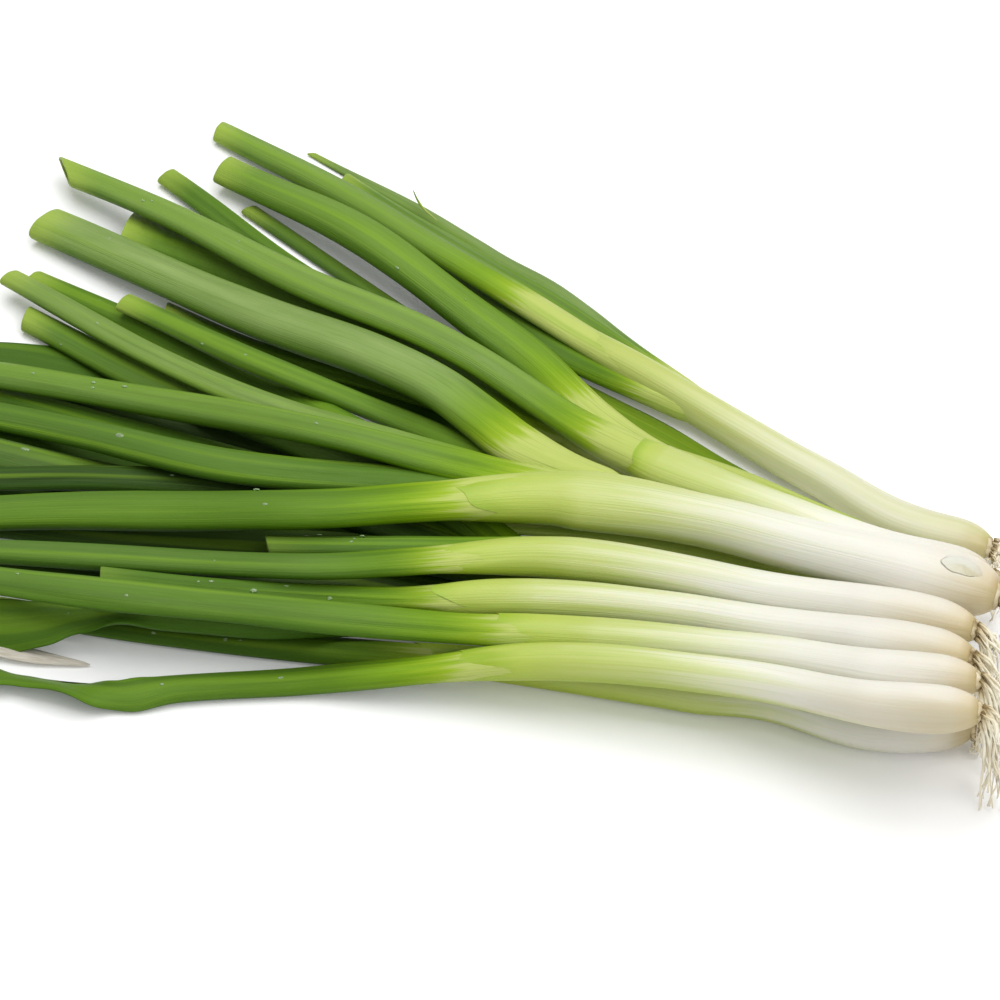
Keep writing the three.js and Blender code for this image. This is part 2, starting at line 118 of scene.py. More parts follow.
# Routes run in millimetres from the root end to the neck, and a leaf's on from the neck. What
# has a higher layer lies on what it crosses of the lower ones.
# An onion: bulb and neck are thicknesses, and flare is how much the neck is spread. Sleeve is how
# far the sheath runs on round its main leaf, the first where main gives no other. Roots and fall
# are how full the tuft is and how far it reaches. Ripe is how green the neck is, and
# earth how far the tan of the root end runs on, on the side towards the camera
# partly as painted shade. Olive is how dull the skin is.
# A leaf: tint runs from -2, dark, to 1, light. Left out, it is a random tone of the leaf's own;
# given, it is painted shade below zero and painted light above. Bloom is how waxy its top is, and
# also how much painted sheen lies there; pale is how far the lime runs out of the neck, dried how
# pale its end is, and slant how askew it is cut. Past limp it lies flat and ruffled, and past
# wrinkled it is wide and wrinkled. One with a point isn't cut.
ONIONS = [
    dict(layer=0, bulb=10.5, neck=8.5, roots=5, fall=3, sleeve=36, ripe=1.35,
         route=[(132, -38, 5), (108, -46.5, 5), (84, -46.5, 5), (60, -52, 5), (35, -54, 4.5)],
         leaves=[
             dict(layer=4, width=8, tint=-1.3,
                  route=[(-1, -60, 3), (-34, -67, 2), (-66, -74, 2), (-101, -79, 2)]),
         ]),
    dict(layer=-1, bulb=9.5, neck=8.5, roots=4, fall=3, sleeve=14, main=1,
         route=[(122, -33, 4.7), (97, -34, 4.7), (73, -38, 4.5), (30, -44, 4)],
         leaves=[
             dict(layer=4.1, width=8.4, tint=-1.3,
                  route=[(-10, -40, 2), (-48, -52, 2), (-86, -62, 2), (-126, -70, 2)]),
             dict(layer=4.2, width=8, tint=-2,
                  route=[(-9, -38, 2), (-48, -47, 2), (-82, -55, 2), (-118, -63, 2)]),
             dict(layer=5, width=9.6, limp=88, tint=-1,
                  route=[(2, -47, 5), (-31, -60, 4), (-62, -68, 3), (-92, -83, 3), (-122, -94, 2)]),
         ]),
    dict(layer=-2, bulb=9.5, neck=8.5, roots=4, fall=3, sleeve=14, main=1,
         route=[(117, -19, 4.7), (97, -19, 4.7), (73, -22, 4.5), (28, -27, 4)],
         leaves=[
             dict(layer=3.4, width=9.4, tint=-1.7,
                  route=[(-12, -29, 5), (-52, -38, 3), (-91, -48, 2), (-132, -56, 2)]),
             dict(layer=3.3, width=11.6, tint=-1.5,
                  route=[(-14, -26, 2), (-57, -27, 2), (-100, -29, 2), (-145, -31, 2)]),
             dict(layer=3, width=9, tint=-1,
                  route=[(-12, -15, 2), (-55, -12, 2), (-98, -12, 2), (-141, -10, 2)]),
             dict(layer=3.1, width=9.5, tint=-0.8,
                  route=[(-10, -7, 2), (-52, 0, 2), (-93, 6, 2), (-138, 19, 2)]),
             dict(layer=2.95, width=8.8, tint=-2,
                  route=[(-11, -6, 2), (-50, -6, 2), (-88, -5, 2), (-128, -1, 2)]),
             dict(layer=3.35, width=8.6, tint=-2,
                  route=[(-12, -20, 2), (-54, -20, 2), (-92, -28, 2), (-132, -42, 2)]),
             dict(layer=3.2, width=7.4,
                  route=[(-11, -2, 2), (-54, 12, 2), (-97, 24, 2), (-143, 33, 2)]),
         ]),
    dict(layer=-3, bulb=8.5, neck=7.5, roots=4, fall=3, sleeve=12, main=2,
         route=[(110, -2, 4.3), (90, -1, 4.3), (66, 7, 4.2), (42, 14, 4), (18, 21, 4)],
         leaves=[
             dict(layer=1.1, width=5,
                  route=[(-10, 37, 2), (-40, 51, 2), (-69, 64, 1.5), (-100, 79, 1.5)]),
             dict(layer=1.2, width=7.4, tint=-0.5,
                  route=[(-16, 34, 2), (-52, 49, 2), (-88, 64, 2), (-126, 83, 2)]),
             dict(layer=1.4, width=13, wrinkled=75,
                  route=[(-17, 32, 3), (-53, 45, 3), (-89, 56, 2), (-127, 61, 2)]),
             dict(layer=1.3, width=6.6,
                  route=[(-12, 25, 2), (-43, 27, 2), (-73, 28, 2), (-105, 34, 2)]),
         ]),
    dict(layer=0, bulb=10.5, neck=9.5, roots=6, fall=4, sleeve=30, olive=0.7,
         route=[(120, 21, 5), (98, 21, 5.3), (76, 29, 5.5), (54, 36, 6), (32, 45, 6)],
         leaves=[
             dict(layer=2.4, width=8.4, tint=1, bloom=0.5, pale=52, slant=-1,
                  route=[(-4, 60, 5), (-41, 74, 6), (-79, 92, 3), (-120, 105, 2)]),
             dict(layer=2.1, width=5.8, point=True, tint=-0.8, bloom=1,
                  route=[(2, 70, 2), (-29, 81, 1.5), (-60, 95, 1.5), (-93, 106, 1.5)]),
             dict(layer=2.2, width=7.4, tint=0.5,
                  route=[(5, 65, 2), (-23, 74, 2), (-51, 85, 2), (-80, 98, 2)]),
             dict(layer=2.3, width=8.4, tint=-0.9, dried=0.6,
                  route=[(10, 46, 3), (-9, 57, 2), (-32, 66, 2), (-56, 77, 2)]),
         ]),
    dict(layer=6, bulb=10.5, neck=9.5, flare=0.4, roots=6, fall=4, sleeve=8, main=1, ripe=1.12,
         route=[(122, 10, 6), (102, 7, 8), (81, 7, 11), (60, 9, 13), (38, 10, 14)],
         leaves=[
             dict(layer=6.1, width=11.6, slant=-0.5, tint=0.5, bloom=0.3, pale=34,
                  route=[(1, 40, 6), (-36, 62, 3), (-73, 79, 3), (-112, 91, 2)]),
             dict(layer=6.2, width=9.2, slant=-5, tint=1, bloom=0.7, pale=18,
                  route=[(0, 29, 9), (-36, 43, 7), (-72, 52, 6), (-111, 64, 5), (-151, 73, 4)]),
         ]),
    # The tan of this bulb runs far up its front as painted shade.
    dict(layer=12, bulb=10.2, neck=8.5, flare=0.15, roots=7, fall=8, sleeve=26, ripe=1.25, earth=0.7,
         route=[(132, -42, 16), (109, -48, 16), (85, -49.5, 15), (62, -53, 15), (38, -57, 14)],
         leaves=[
             dict(layer=12, width=8, limp=92, tint=0.2,
                  route=[(8, -66, 8), (-22, -77, 3), (-51, -89, 2), (-62, -95, 2), (-82, -98, 2),
                         (-115, -104, 2)]),
         ]),
    dict(layer=11, bulb=9.8, neck=8.5, flare=0.15, roots=7, fall=9, sleeve=26,
         route=[(129, -32, 15), (107, -37, 15), (85, -40, 15), (64, -43.5, 14.5), (43, -48, 14)],
         leaves=[
             dict(layer=11.2, width=9.2, tint=-0.5,
                  route=[(0, -56, 10), (-41, -64, 9), (-83, -71, 8), (-129, -76, 5)]),
         ]),
    dict(layer=10, bulb=9.8, neck=9, flare=0.15, roots=7, fall=9, sleeve=26, earth=0.24,
         route=[(126, -25, 14.5), (102, -27.5, 14.5), (76, -32, 14.5), (50, -35, 14), (24, -39, 13)],
         leaves=[
             dict(layer=10.5, width=6.4, tint=-0.8, dried=0.25,
                  route=[(5, -45, 9), (-26, -51, 6), (-54, -56.5, 5), (-80, -61.5, 5)]),
         ]),
    dict(layer=9, bulb=10, neck=10, flare=0.1, roots=7, fall=9, sleeve=36, main=0, earth=0.34,
         route=[(125, -17, 15.5), (101, -18.5, 15.5), (77, -22, 15.5), (54, -23.5, 15), (29, -25, 15)],
         leaves=[
             dict(layer=9, width=8, tint=-0.9,
                  route=[(-8, -37, 10), (-48, -48, 7), (-86, -57.5, 5), (-124, -68.5, 5)]),
             dict(layer=8.8, width=7, tint=-1.2, dried=0.25,
                  route=[(-3, -29, 9), (-24, -34, 8), (-46, -39, 6)]),
         ]),
    dict(layer=8, bulb=14, neck=12.5, flare=0.35, roots=9, fall=9, sleeve=33, main=5,
         ripe=1.15, earth=0.24,
         route=[(128, -6, 17.5), (103, -6, 18), (77, -6, 17.5), (51, -5.5, 17), (25, -7.5, 17)],
         leaves=[
             dict(layer=7.5, width=13.6, slant=1, bloom=1.3, pale=26,
                  route=[(-7, 15, 12), (-42, 28, 9), (-75, 34, 8), (-111, 42, 7), (-147, 50, 6)]),
             dict(layer=7.3, width=7.4, slant=0.6, tint=1, bloom=0.9, pale=20,
                  route=[(-17, 1, 10), (-59, 4, 8), (-101, 13, 6), (-147, 29, 5)]),
             dict(layer=7.2, width=7.4, tint=0.2,
                  route=[(-9, 6, 10), (-45, 16, 5), (-79, 22, 4), (-115, 30, 5)]),
             dict(layer=7.4, width=9.2, tint=0.3, bloom=0.4, pale=14,
                  route=[(-19, -3, 12), (-65, -2, 8), (-109, -4, 6), (-155, -9, 4)]),
             dict(layer=7.1, width=10, tint=-0.9,
                  route=[(-18, -9, 8), (-61, -15, 4), (-105, -16, 3), (-151, -20, 2)]),
             dict(layer=9.5, width=11.8, tint=-0.2, bloom=0.1,
                  route=[(-14, -20, 12), (-55, -34, 10), (-94, -48, 9), (-135, -63, 6)]),
         ]),
]

STATION_STEP = 5
ROUGH_SAMPLES = 201
NECK_LENGTH = 30
FLARE_LENGTH = 34
TIP_LENGTH = 60
ROOT_END_LENGTH, ROOT_END_NARROWING = 9, 0.75
BULB_SWELL, BULB_MIDDLE, BULB_SPREAD = 0.14, 16, 14
POINTED_TAPER, CUT_TAPER = 0.7, 0.15
LEAF_FLATNESS = 0.6
LAID_BASE = (0.88, 0.8)


def smooth_rise(x):
    """0 below 0, 1 above 1, and 3x^2 - 2x^3 between."""
    x = np.clip(x, 0, 1)
    return x * x * (3 - 2 * x)


def bell(x):
    """1 at 0, falling off on both sides as e to the power of minus x^2."""
    return np.exp(-x ** 2)


def shank_half(onion, s, length):
    """Half width and half height at distance s: a straight taper times one plus a bell for the
    bulb, times the square root that rounds the root end off. The flare widens it smoothly to
    the neck."""
    taper = onion["bulb"] + (onion["neck"] - onion["bulb"]) * s / length
    swell = 1 + BULB_SWELL * bell((s - BULB_MIDDLE) / BULB_SPREAD)
    rounding = np.sqrt(1 - ROOT_END_NARROWING * np.clip(1 - s / ROOT_END_LENGTH, 0, 1) ** 2)
    half = taper / 2 * swell * rounding
    return half * (1 + onion.get("flare", 0) * smooth_rise(1 - (length - s) / FLARE_LENGTH)), half


def leaf_half(onion, leaf, s, length, base=LAID_BASE, late=0):
    """Half width and half height at distance s: from late on, the neck's size times base blends
    smoothly into the leaf's own. Both narrow in a straight line towards the tip."""
    grown = smooth_rise((s - late) / NECK_LENGTH)
    narrowing = np.clip((s - length + TIP_LENGTH) / TIP_LENGTH, 0, 1)
    tip = 1 - (POINTED_TAPER if leaf.get("point") else CUT_TAPER) * narrowing
    neck = onion["neck"] * (1 + onion.get("flare", 0) / (2 if len(onion["leaves"]) > 1 else 1))
    across = (neck * base[0] * (1 - grown) + leaf["width"] * grown) / 2 * tip
    up = (onion["neck"] * base[1] * (1 - grown) + leaf["width"] * LEAF_FLATNESS * grown) / 2 * tip
    return across, up


def curve_through(points, t):
    """Places on the smooth curve through the points, t counting points from 0: between two of
    them a cubic whose end slopes come from the neighbours, weighed by the roots of the gaps."""
    padded = np.vstack([2 * points[0] - points[1], points, 2 * points[-1] - points[-2]])
    i = np.clip(np.floor(t).astype(int), 0, len(points) - 2)
    f = (t - i)[..., None]
    p0, p1, p2, p3 = (padded[i + k] for k in range(4))
    gap0, gap1, gap2 = (
        np.sqrt(np.linalg.norm(b - a, axis=-1, keepdims=True)) for a, b in ((p0, p1), (p1, p2), (p2, p3)))
    slope1 = ((p1 - p0) / gap0 - (p2 - p0) / (gap0 + gap1) + (p2 - p1) / gap1) * gap1
    slope2 = ((p2 - p1) / gap1 - (p3 - p1) / (gap1 + gap2) + (p3 - p2) / gap2) * gap1
    return (p1 + f * slope1 + f ** 2 * (-3 * p1 + 3 * p2 - 2 * slope1 - slope2)
            + f ** 3 * (2 * p1 - 2 * p2 + slope1 + slope2))


def distance_run(path):
    """The distance run at each point of a path: the sum of the straight steps up to it."""
    return np.concatenate([[0], np.cumsum(np.linalg.norm(np.diff(path, axis=0), axis=1))])


def lay_strand(points, half_of, **facts):
    """A strand as stations evenly spaced along the curve through the points. They are read off
    it at equal shares of the distance run, which many rough samples give."""
    points = np.array(points, float)
    t = np.linspace(0, len(points) - 1, ROUGH_SAMPLES)
    run = distance_run(curve_through(points, t))
    count = int(round(run[-1] / STATION_STEP))
    laid = curve_through(points, np.interp(np.linspace(0, run[-1], count + 1), run, t))
    length = count * STATION_STEP
    s = np.arange(count + 1) * STATION_STEP
    across, up = half_of(s, length)
    return dict(facts, laid=laid, s=s, length=length, across=across, up=up,
                half=lambda s: half_of(s, length))


LEAF_ONSET = 8


def lay_bunch():
    """All the shanks, then all the leaves, as they are first laid, before they settle. A leaf
    starts at the end of its shank and runs straight on from it for its onset."""
    shanks, leaves = [], []
    for k, onion in enumerate(ONIONS):
        shanks.append(lay_strand(
            onion["route"], lambda s, length, onion=onion: shank_half(onion, s, length),
            owner=k, layer=onion["layer"], is_leaf=False))
    for k, onion in enumerate(ONIONS):
        before, end = shanks[k]["laid"][-2:]
        onward = end + LEAF_ONSET * (end - before) / np.linalg.norm(end - before)
        for leaf in onion["leaves"]:
            leaves.append(lay_strand(
                [end, onward, *leaf["route"]],
                lambda s, length, onion=onion, leaf=leaf: leaf_half(onion, leaf, s, length),
                owner=k, layer=leaf["layer"], is_leaf=True, leaf=leaf))
    return shanks, leaves


def blur_matrix(count, window):
    """Each row takes the mean of a station and its neighbours within the window."""
    i = np.arange(count)
    near = np.abs(i[:, None] - i) <= window
    return near / near.sum(1, keepdims=True)


SHEATH_REACH = 42
CROSSING_REACH = 26


def crossing_pairs(rising, laid, s):
    """The pairs of stations that may touch, as the upper ones and the lower ones: near to each
    other, on two strands, and not both of one onion where a leaf is still in the sheath."""
    sizes = [len(strand["s"]) for strand in rising]
    rank = np.repeat(np.arange(len(rising)), sizes)
    owner = np.repeat([strand["owner"] for strand in rising], sizes)
    in_neck = np.repeat([strand["is_leaf"] for strand in rising], sizes) & (s < SHEATH_REACH)
    near = np.linalg.norm(laid[:, None] - laid, axis=2) < CROSSING_REACH
    one_sheath = (owner[:, None] == owner) & (in_neck[:, None] | in_neck)
    return np.nonzero(near & ~one_sheath & (rank[:, None] > rank))


# For each millimetre up, a lifted strand comes this far forward, so that the camera still sees
# it in its place.
LIFT_SLOPE = np.array([0.34, -0.94, 1])
ROUNDS = 300
CLEARANCE = 0.8
PRESSED_FLAT = 0.35
UPPER_SHARE, LOWER_SHARE, EAGERNESS = 0.75, 0.25, 1.4
SINKING, LONGEST_MOVE, STEEPEST_STEP = 0.06, 0.4, 2
LEAF_BLURS, SHANK_BLURS = (2, 3), (5, 5)
HELD_STATIONS = 6


def settle(shanks, leaves):
    """Strands that cross push each other apart along one slope, and free leaves sink, until they
    lie on one another. Ovals a and b touch where the gap between them, scaled by the sums of
    their half sizes, is one long; the lift needed for that is the root of a quadratic."""
    strands = shanks + leaves
    rising = [strands[i] for i in np.argsort([strand["layer"] for strand in strands], kind="stable")]
    laid, across, up, s = (
        np.concatenate([strand[key] for strand in rising]) for key in ("laid", "across", "up", "s"))
    sizes = [len(strand["s"]) for strand in rising]
    starts = np.concatenate([[0], np.cumsum(sizes)])
    spans = [slice(a, b) for a, b in zip(starts[:-1], starts[1:])]
    span_of = {id(strand): span for strand, span in zip(rising, spans)}
    blurs = []
    for n, strand in zip(sizes, rising):
        first, second = LEAF_BLURS if strand["is_leaf"] else SHANK_BLURS
        blurs.append(blur_matrix(n, first) @ blur_matrix(n, second))
    is_free = np.repeat([strand["is_leaf"] for strand in rising], sizes) & (s > NECK_LENGTH)
    above, below = crossing_pairs(rising, laid, s)
    wide = across[above] + across[below] + CLEARANCE
    high = up[above] + up[below] + CLEARANCE
    scale = np.stack([1 / wide, 1 / wide, 1 / high], axis=1)
    lift_way = LIFT_SLOPE * scale
    lift_size = (lift_way ** 2).sum(1)
    lift = np.zeros(len(s))
    lowest = up - PRESSED_FLAT - laid[:, 2]
    held = np.arange(HELD_STATIONS)
    hold = np.clip((HELD_STATIONS - held) / 4, 0, 1)

    def hold_to_necks():
        """Moves the first stations of each leaf towards the straight line through the last two
        of its shank, by a share that falls from all to nothing."""
        for leaf in leaves:
            neck = lift[span_of[id(shanks[leaf["owner"]])]][-2:]
            in_line = neck[1] + (neck[1] - neck[0]) * np.minimum(held, 2)
            start = span_of[id(leaf)].start
            lift[start + held] += (in_line - lift[start + held]) * hold

    for turn in range(ROUNDS):
        place = laid + LIFT_SLOPE * lift[:, None]
        apart = (place[above] - place[below]) * scale
        short = 1 - (apart ** 2).sum(1)
        along = (apart * lift_way).sum(1)
        touching = short > 0
        root = np.sqrt(along ** 2 + np.maximum(short, 0) * lift_size)
        needed = np.where(touching, (root - along) / lift_size, 0)
        push = (np.bincount(above, needed * UPPER_SHARE, len(s))
                - np.bincount(below, needed * LOWER_SHARE, len(s)))
        touches = np.bincount(above, touching, len(s)) + np.bincount(below, touching, len(s))
        sinking = SINKING * (1 - turn / ROUNDS) * is_free
        moves = np.clip(push * EAGERNESS / np.maximum(touches, 1) - sinking, -LONGEST_MOVE, LONGEST_MOVE)
        for span, blur in zip(spans, blurs):
            wanted = np.maximum(lift[span] + blur @ moves[span], lowest[span])
            for i in range(1, len(wanted)):
                before = wanted[i - 1]
                wanted[i] = min(max(wanted[i], before - STEEPEST_STEP), before + STEEPEST_STEP)
            lift[span] = wanted
        hold_to_necks()
    for leaf in leaves:
        span = span_of[id(leaf)]
        easing = blur_matrix(len(leaf["s"]), 3)
        lift[span] = np.maximum(easing @ easing @ lift[span], lowest[span])
    hold_to_necks()
    place = laid + LIFT_SLOPE * lift[:, None]
    for strand, span in zip(rising, spans):
        strand["place"] = place[span]


EASED_FROM, EASED_TO = -45, 75


def join_to_shank(leaf, shank):
    """Gives a leaf the shank's stations as its lead, eased where the two meet: each station
    near the neck moves to the mean of its neighbours, by a share that rises and falls smoothly."""
    place = np.vstack([shank["place"], leaf["place"][1:]])
    easing = blur_matrix(len(place), 4)
    past_neck = np.arange(len(place)) * STATION_STEP - shank["length"]
    near = (smooth_rise((past_neck - EASED_FROM) / 20) * smooth_rise((EASED_TO - past_neck) / 30))[:, None]
    leaf["place"] = place + near * (easing @ easing @ place - place)
    leaf["lead"] = shank["length"]


shanks, leaves = lay_bunch()
settle(shanks, leaves)
for leaf in leaves:
    join_to_shank(leaf, shanks[leaf["owner"]])


ONWARD_SPAN = 0.3


def strand_frame(strand, s):
    """The middle of a strand at each distance s, with three directions: onward, sideways, which
    is straight up crossed with onward, and upward, which is onward crossed with sideways. Beyond
    its ends a strand runs straight on, and before its start on its lead."""
    points, lead = strand["place"], strand.get("lead", 0)
    last, whole = len(points) - 1, strand["length"] + lead
    inside = np.clip((s + lead) / whole, 0, 1)
    t = inside * last
    behind, ahead = np.maximum(t - ONWARD_SPAN, 0), np.minimum(t + ONWARD_SPAN, last)
    onward = curve_through(points, ahead) - curve_through(points, behind)
    onward /= np.linalg.norm(onward, axis=-1, keepdims=True)
    middle = curve_through(points, t) + onward * (s + lead - inside * whole)[..., None]
    sideways = np.cross((0, 0, 1), onward)
    sideways /= np.linalg.norm(sideways, axis=-1, keepdims=True)
    return middle, onward, sideways, np.cross(onward, sideways)


def wrap_strand(strand, s, across, up, angle, shift=0, raised=0, roll=0, floor=0):
    """The skin round a strand: at each distance s and angle, the middle plus across times the
    sine of the angle sideways and up times its cosine upwards, with the oval rolled about the
    strand, shifted sideways and raised. It is pressed flat on the floor."""
    middle, _, sideways, upward = strand_frame(strand, s)
    x, z = np.sin(angle) * across, np.cos(angle) * up
    turned_x = x * np.cos(roll) + z * np.sin(roll) + shift
    turned_z = z * np.cos(roll) - x * np.sin(roll) + raised
    skin = middle + sideways * turned_x[..., None] + upward * turned_z[..., None]
    skin[..., 2] = np.maximum(skin[..., 2], floor)
    return skin


def ring_angles(sides):
    """The angles of a ring's points from its top, one turn in equal steps, as one row."""
    return 2 * np.pi * np.arange(sides)[None] / sides


def angle_from(start, angle):
    """How far an angle is from the start, at most half a turn either way."""
    return (angle - start + np.pi) % (2 * np.pi) - np.pi


def low_waves(s, angle, folds, pitches, random):
    """A sum of cosine waves, one for each number of folds round the strand. Each has a random
    height of at most one and winds along the strand at a pitch between the two given."""
    return sum(
        random.uniform(-1, 1) * np.cos(n * angle + random.uniform(0, 6) + s / random.uniform(*pitches))
        for n in folds)


MILLIMETRE = 0.001


class Skins:
    """Closed skins of one piece, in millimetres, gathered and then put into one mesh."""

    def __init__(self):
        """No skins yet."""
        self.places, self.faces, self.corners, self.marks = [], [], [], {}
        self.count = 0

    def add(self, grid, s, **marks):
        """A grid of rings in their onward order, closed round and with a fan at each end. The
        pattern's place is the share of the turn round a ring and the distance s along, and each
        mark is a value, or a grid of them, that the paint reads."""
        rings, sides = grid.shape[:2]
        s = np.broadcast_to(s, (rings, sides))
        ends = np.array([grid[0].mean(0), grid[-1].mean(0)])
        self.places.append(np.vstack([grid.reshape(-1, 3), ends]))
        i, j = np.meshgrid(np.arange(rings - 1), np.arange(sides), indexing="ij")
        after = (j + 1) % sides
        quads = np.stack([i * sides + j, (i + 1) * sides + j, (i + 1) * sides + after, i * sides + after], -1)
        round_uv = np.stack([j, j, j + 1, j + 1], -1) / sides
        along_uv = np.stack([s[i, j], s[i + 1, j], s[i + 1, after], s[i, after]], -1)
        j, after, top = j[0], after[0], (rings - 1) * sides
        first = np.stack([j, after, np.full(sides, rings * sides)], -1)
        last = np.stack([top + after, top + j, np.full(sides, rings * sides + 1)], -1)
        for faces in (quads.reshape(-1, 4), first, last):
            self.faces += (faces + self.count).tolist()
        fans = [np.stack([j, j + 1, j + 0.5], -1), np.stack([j + 1, j, j + 0.5], -1)]
        self.corners.append(np.stack([
            np.concatenate([round_uv.ravel(), *(fan.ravel() / sides for fan in fans)]),
            np.concatenate([along_uv.ravel(), np.repeat([s[0, 0], s[-1, 0]], 3 * sides)])], -1))
        for name, mark in marks.items():
            values = np.broadcast_to(mark, (rings, sides)).ravel()
            self.marks.setdefault(name, []).append(np.concatenate([values, values[[0, -1]]]))
        self.count += rings * sides + 2

    def piece(self, name, material, *nodes, slot=None):
        """One smooth object of all the skins, held in the solids' box. It stands for the nodes
        that are named."""
        mesh = bpy.data.meshes.new(name)
        places = np.vstack(self.places) * MILLIMETRE + BUNCH_MIDDLE
        mesh.from_pydata(np.clip(places, *cad_box), [], self.faces)
        layer = mesh.uv_layers.new(name="strand")
        layer.data.foreach_set("uv", (np.vstack(self.corners) * (1, MILLIMETRE)).ravel())
        for mark, values in self.marks.items():
            made = mesh.attributes.new(mark, "FLOAT", "POINT")
            made.data.foreach_set("value", np.concatenate(values))
        mesh.polygons.foreach_set("use_smooth", np.ones(len(self.faces), bool))
        mesh.materials.append(material)
        mesh.update()
        made = bpy.data.objects.new(name, mesh)
        bpy.context.scene.collection.objects.link(made)
        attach(made, "root")
        if nodes:
            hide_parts(*nodes)


class Level:
    """A number on a shader socket. Arithmetic on it, from either side, adds Math nodes."""

    def __init__(self, paint, socket):
        """The number that comes out of a socket of the paint's."""
        self.paint, self.socket = paint, socket

    def math(self, operation, *values):
        """What a Math node's operation makes of the values, each a number or a level."""
        made = self.paint.node("Math", dict(enumerate(values)), operation=operation)
        return Level(self.paint, made.outputs[0])

    # The four kinds of sum, with their reflected forms for a number on the left.
    def __add__(self, other):
        return self.math("ADD", self, other)

    def __sub__(self, other):
        return self.math("SUBTRACT", self, other)

    def __rsub__(self, other):
        return self.math("SUBTRACT", other, self)

    def __mul__(self, other):
        return self.math("MULTIPLY", self, other)

    def __truediv__(self, other):
        return self.math("DIVIDE", self, other)

    def __rtruediv__(self, other):
        return self.math("DIVIDE", other, self)

    __radd__, __rmul__ = __add__, __mul__

    def between(self, low, high):
        """0 at low and beyond, 1 at high and beyond, and a smooth rise from one to the other.
        Low may be the greater of the two."""
        made = self.paint.node(
            "MapRange", {"Value": self, "From Min": low, "From Max": high}, interpolation_type="SMOOTHSTEP")
        return Level(self.paint, made.outputs[0])


# A Mix node has a set of sockets for each kind of value. These are the places of the colour's.
MIX_FACTOR, MIX_FIRST, MIX_SECOND, MIX_RESULT = 0, 6, 7, 2


class Paint:
    """One material. All its nodes come from node()."""

    def __init__(self, name, **constants):
        """A plain surface, its constants named after its sockets."""
        self.material = bpy.data.materials.new(name)
        self.material.use_nodes = True
        self.tree = self.material.node_tree
        self.surface = self.tree.nodes["Principled BSDF"]
        for socket, value in constants.items():
            self.plug(self.surface.inputs[socket.replace("_", " ")], value)

    def plug(self, socket, value):
        """Links a level or a socket, or sets a number or a colour without its alpha."""
        if isinstance(value, Level):
            value = value.socket
        if isinstance(value, bpy.types.NodeSocket):
            self.tree.links.new(value, socket)
        else:
            socket.default_value = (*value, 1) if socket.type == "RGBA" else value

    def node(self, kind, values, stops=(), **settings):
        """A node of the kind. Its settings and a ramp's stops are set first, and then the values
        or links of its sockets, which go by name or by number."""
        made = self.tree.nodes.new("ShaderNode" + kind)
        for name, setting in settings.items():
            setattr(made, name, setting)
        for k, (place, colour) in enumerate(stops):
            stripes = made.color_ramp.elements
            stripe = stripes[k] if k < 2 else stripes.new(place)
            stripe.position = place
            stripe.color = (*colour, 1)
        for socket, value in values.items():
            self.plug(made.inputs[socket], value)
        return made

    def mark(self, name):
        """The level of a mark that the skins carry."""
        return Level(self, self.node("Attribute", {}, attribute_name=name).outputs["Fac"])

    def strand_place(self):
        """The turn round the strand, 0 to 1 from its top, and the distance along it."""
        place = self.node("UVMap", {}, uv_map="strand")
        split = self.node("SeparateXYZ", {"Vector": place.outputs[0]})
        return Level(self, split.outputs[0]), Level(self, split.outputs[1])

    def strand_round(self):
        """The cosine of the turn, which is 1 on top, its sine, and the distance along."""
        turn, along = self.strand_place()
        angle = turn * (2 * np.pi)
        return turn.math("COSINE", angle), turn.math("SINE", angle), along

    def noise(self, x, y, z, scale, detail, roughness=0.5):
        """Cloudy noise from 0 to 1 at the place x, y, z."""
        place = self.node("CombineXYZ", {"X": x, "Y": y, "Z": z}).outputs[0]
        made = self.node(
            "TexNoise", {"Vector": place, "Scale": scale, "Detail": detail, "Roughness": roughness})
        return Level(self, made.outputs["Fac"])

    def ramp(self, level, stops):
        """Colours at levels from 0 to 1, blended between."""
        return self.node("ValToRGB", {"Fac": level}, stops=stops).outputs[0]

    def coat(self, colour, *coats):
        """The colour with coats laid over it one by one, each mixed in by its own level."""
        for level, over in coats:
            made = self.node(
                "Mix", {MIX_FACTOR: level, MIX_FIRST: colour, MIX_SECOND: over}, data_type="RGBA")
            colour = made.outputs[MIX_RESULT]
        return colour

    def bump(self, height, distance, strength):
        """Raises the surface by the height times the distance, as far as shading shows it."""
        made = self.node("Bump", {"Height": height, "Distance": distance, "Strength": strength})
        self.plug(self.surface.inputs["Normal"], made.outputs[0])

    def finish(self, colour, roughness):
        """The material, with its colour and roughness put in."""
        self.plug(self.surface.inputs["Base Color"], colour)
        self.plug(self.surface.inputs["Roughness"], roughness)
        return self.material


SHANK_TONES = [
    (0.0, (0.46, 0.34, 0.15)), (0.012, (0.66, 0.57, 0.40)), (0.04, (0.70, 0.66, 0.56)),
    (0.12, (0.75, 0.73, 0.65)), (0.24, (0.77, 0.765, 0.665)), (0.36, (0.68, 0.70, 0.45)),
    (0.47, (0.53, 0.59, 0.22)), (0.62, (0.45, 0.53, 0.12)), (0.85, (0.42, 0.52, 0.08)),
    (1.0, (0.31, 0.44, 0.03))]
# Painted shade: a deeper yellow-green for the shank's underside and the lower side of its neck.
SHANK_UNDERSIDE_SHADE, NECK_CLEFT_SHADE = (0.38, 0.43, 0.03), (0.30, 0.40, 0.015)
DULL_OLIVE, VEIN_GREEN = (0.50, 0.53, 0.17), (0.33, 0.48, 0.08)
# Root tan, partly the plate's own colour and partly painted shade on the bulb's front; worn straw.
ROOT_TAN_AND_SHADE, WORN_STRAW = (0.50, 0.41, 0.20), (0.70, 0.60, 0.38)


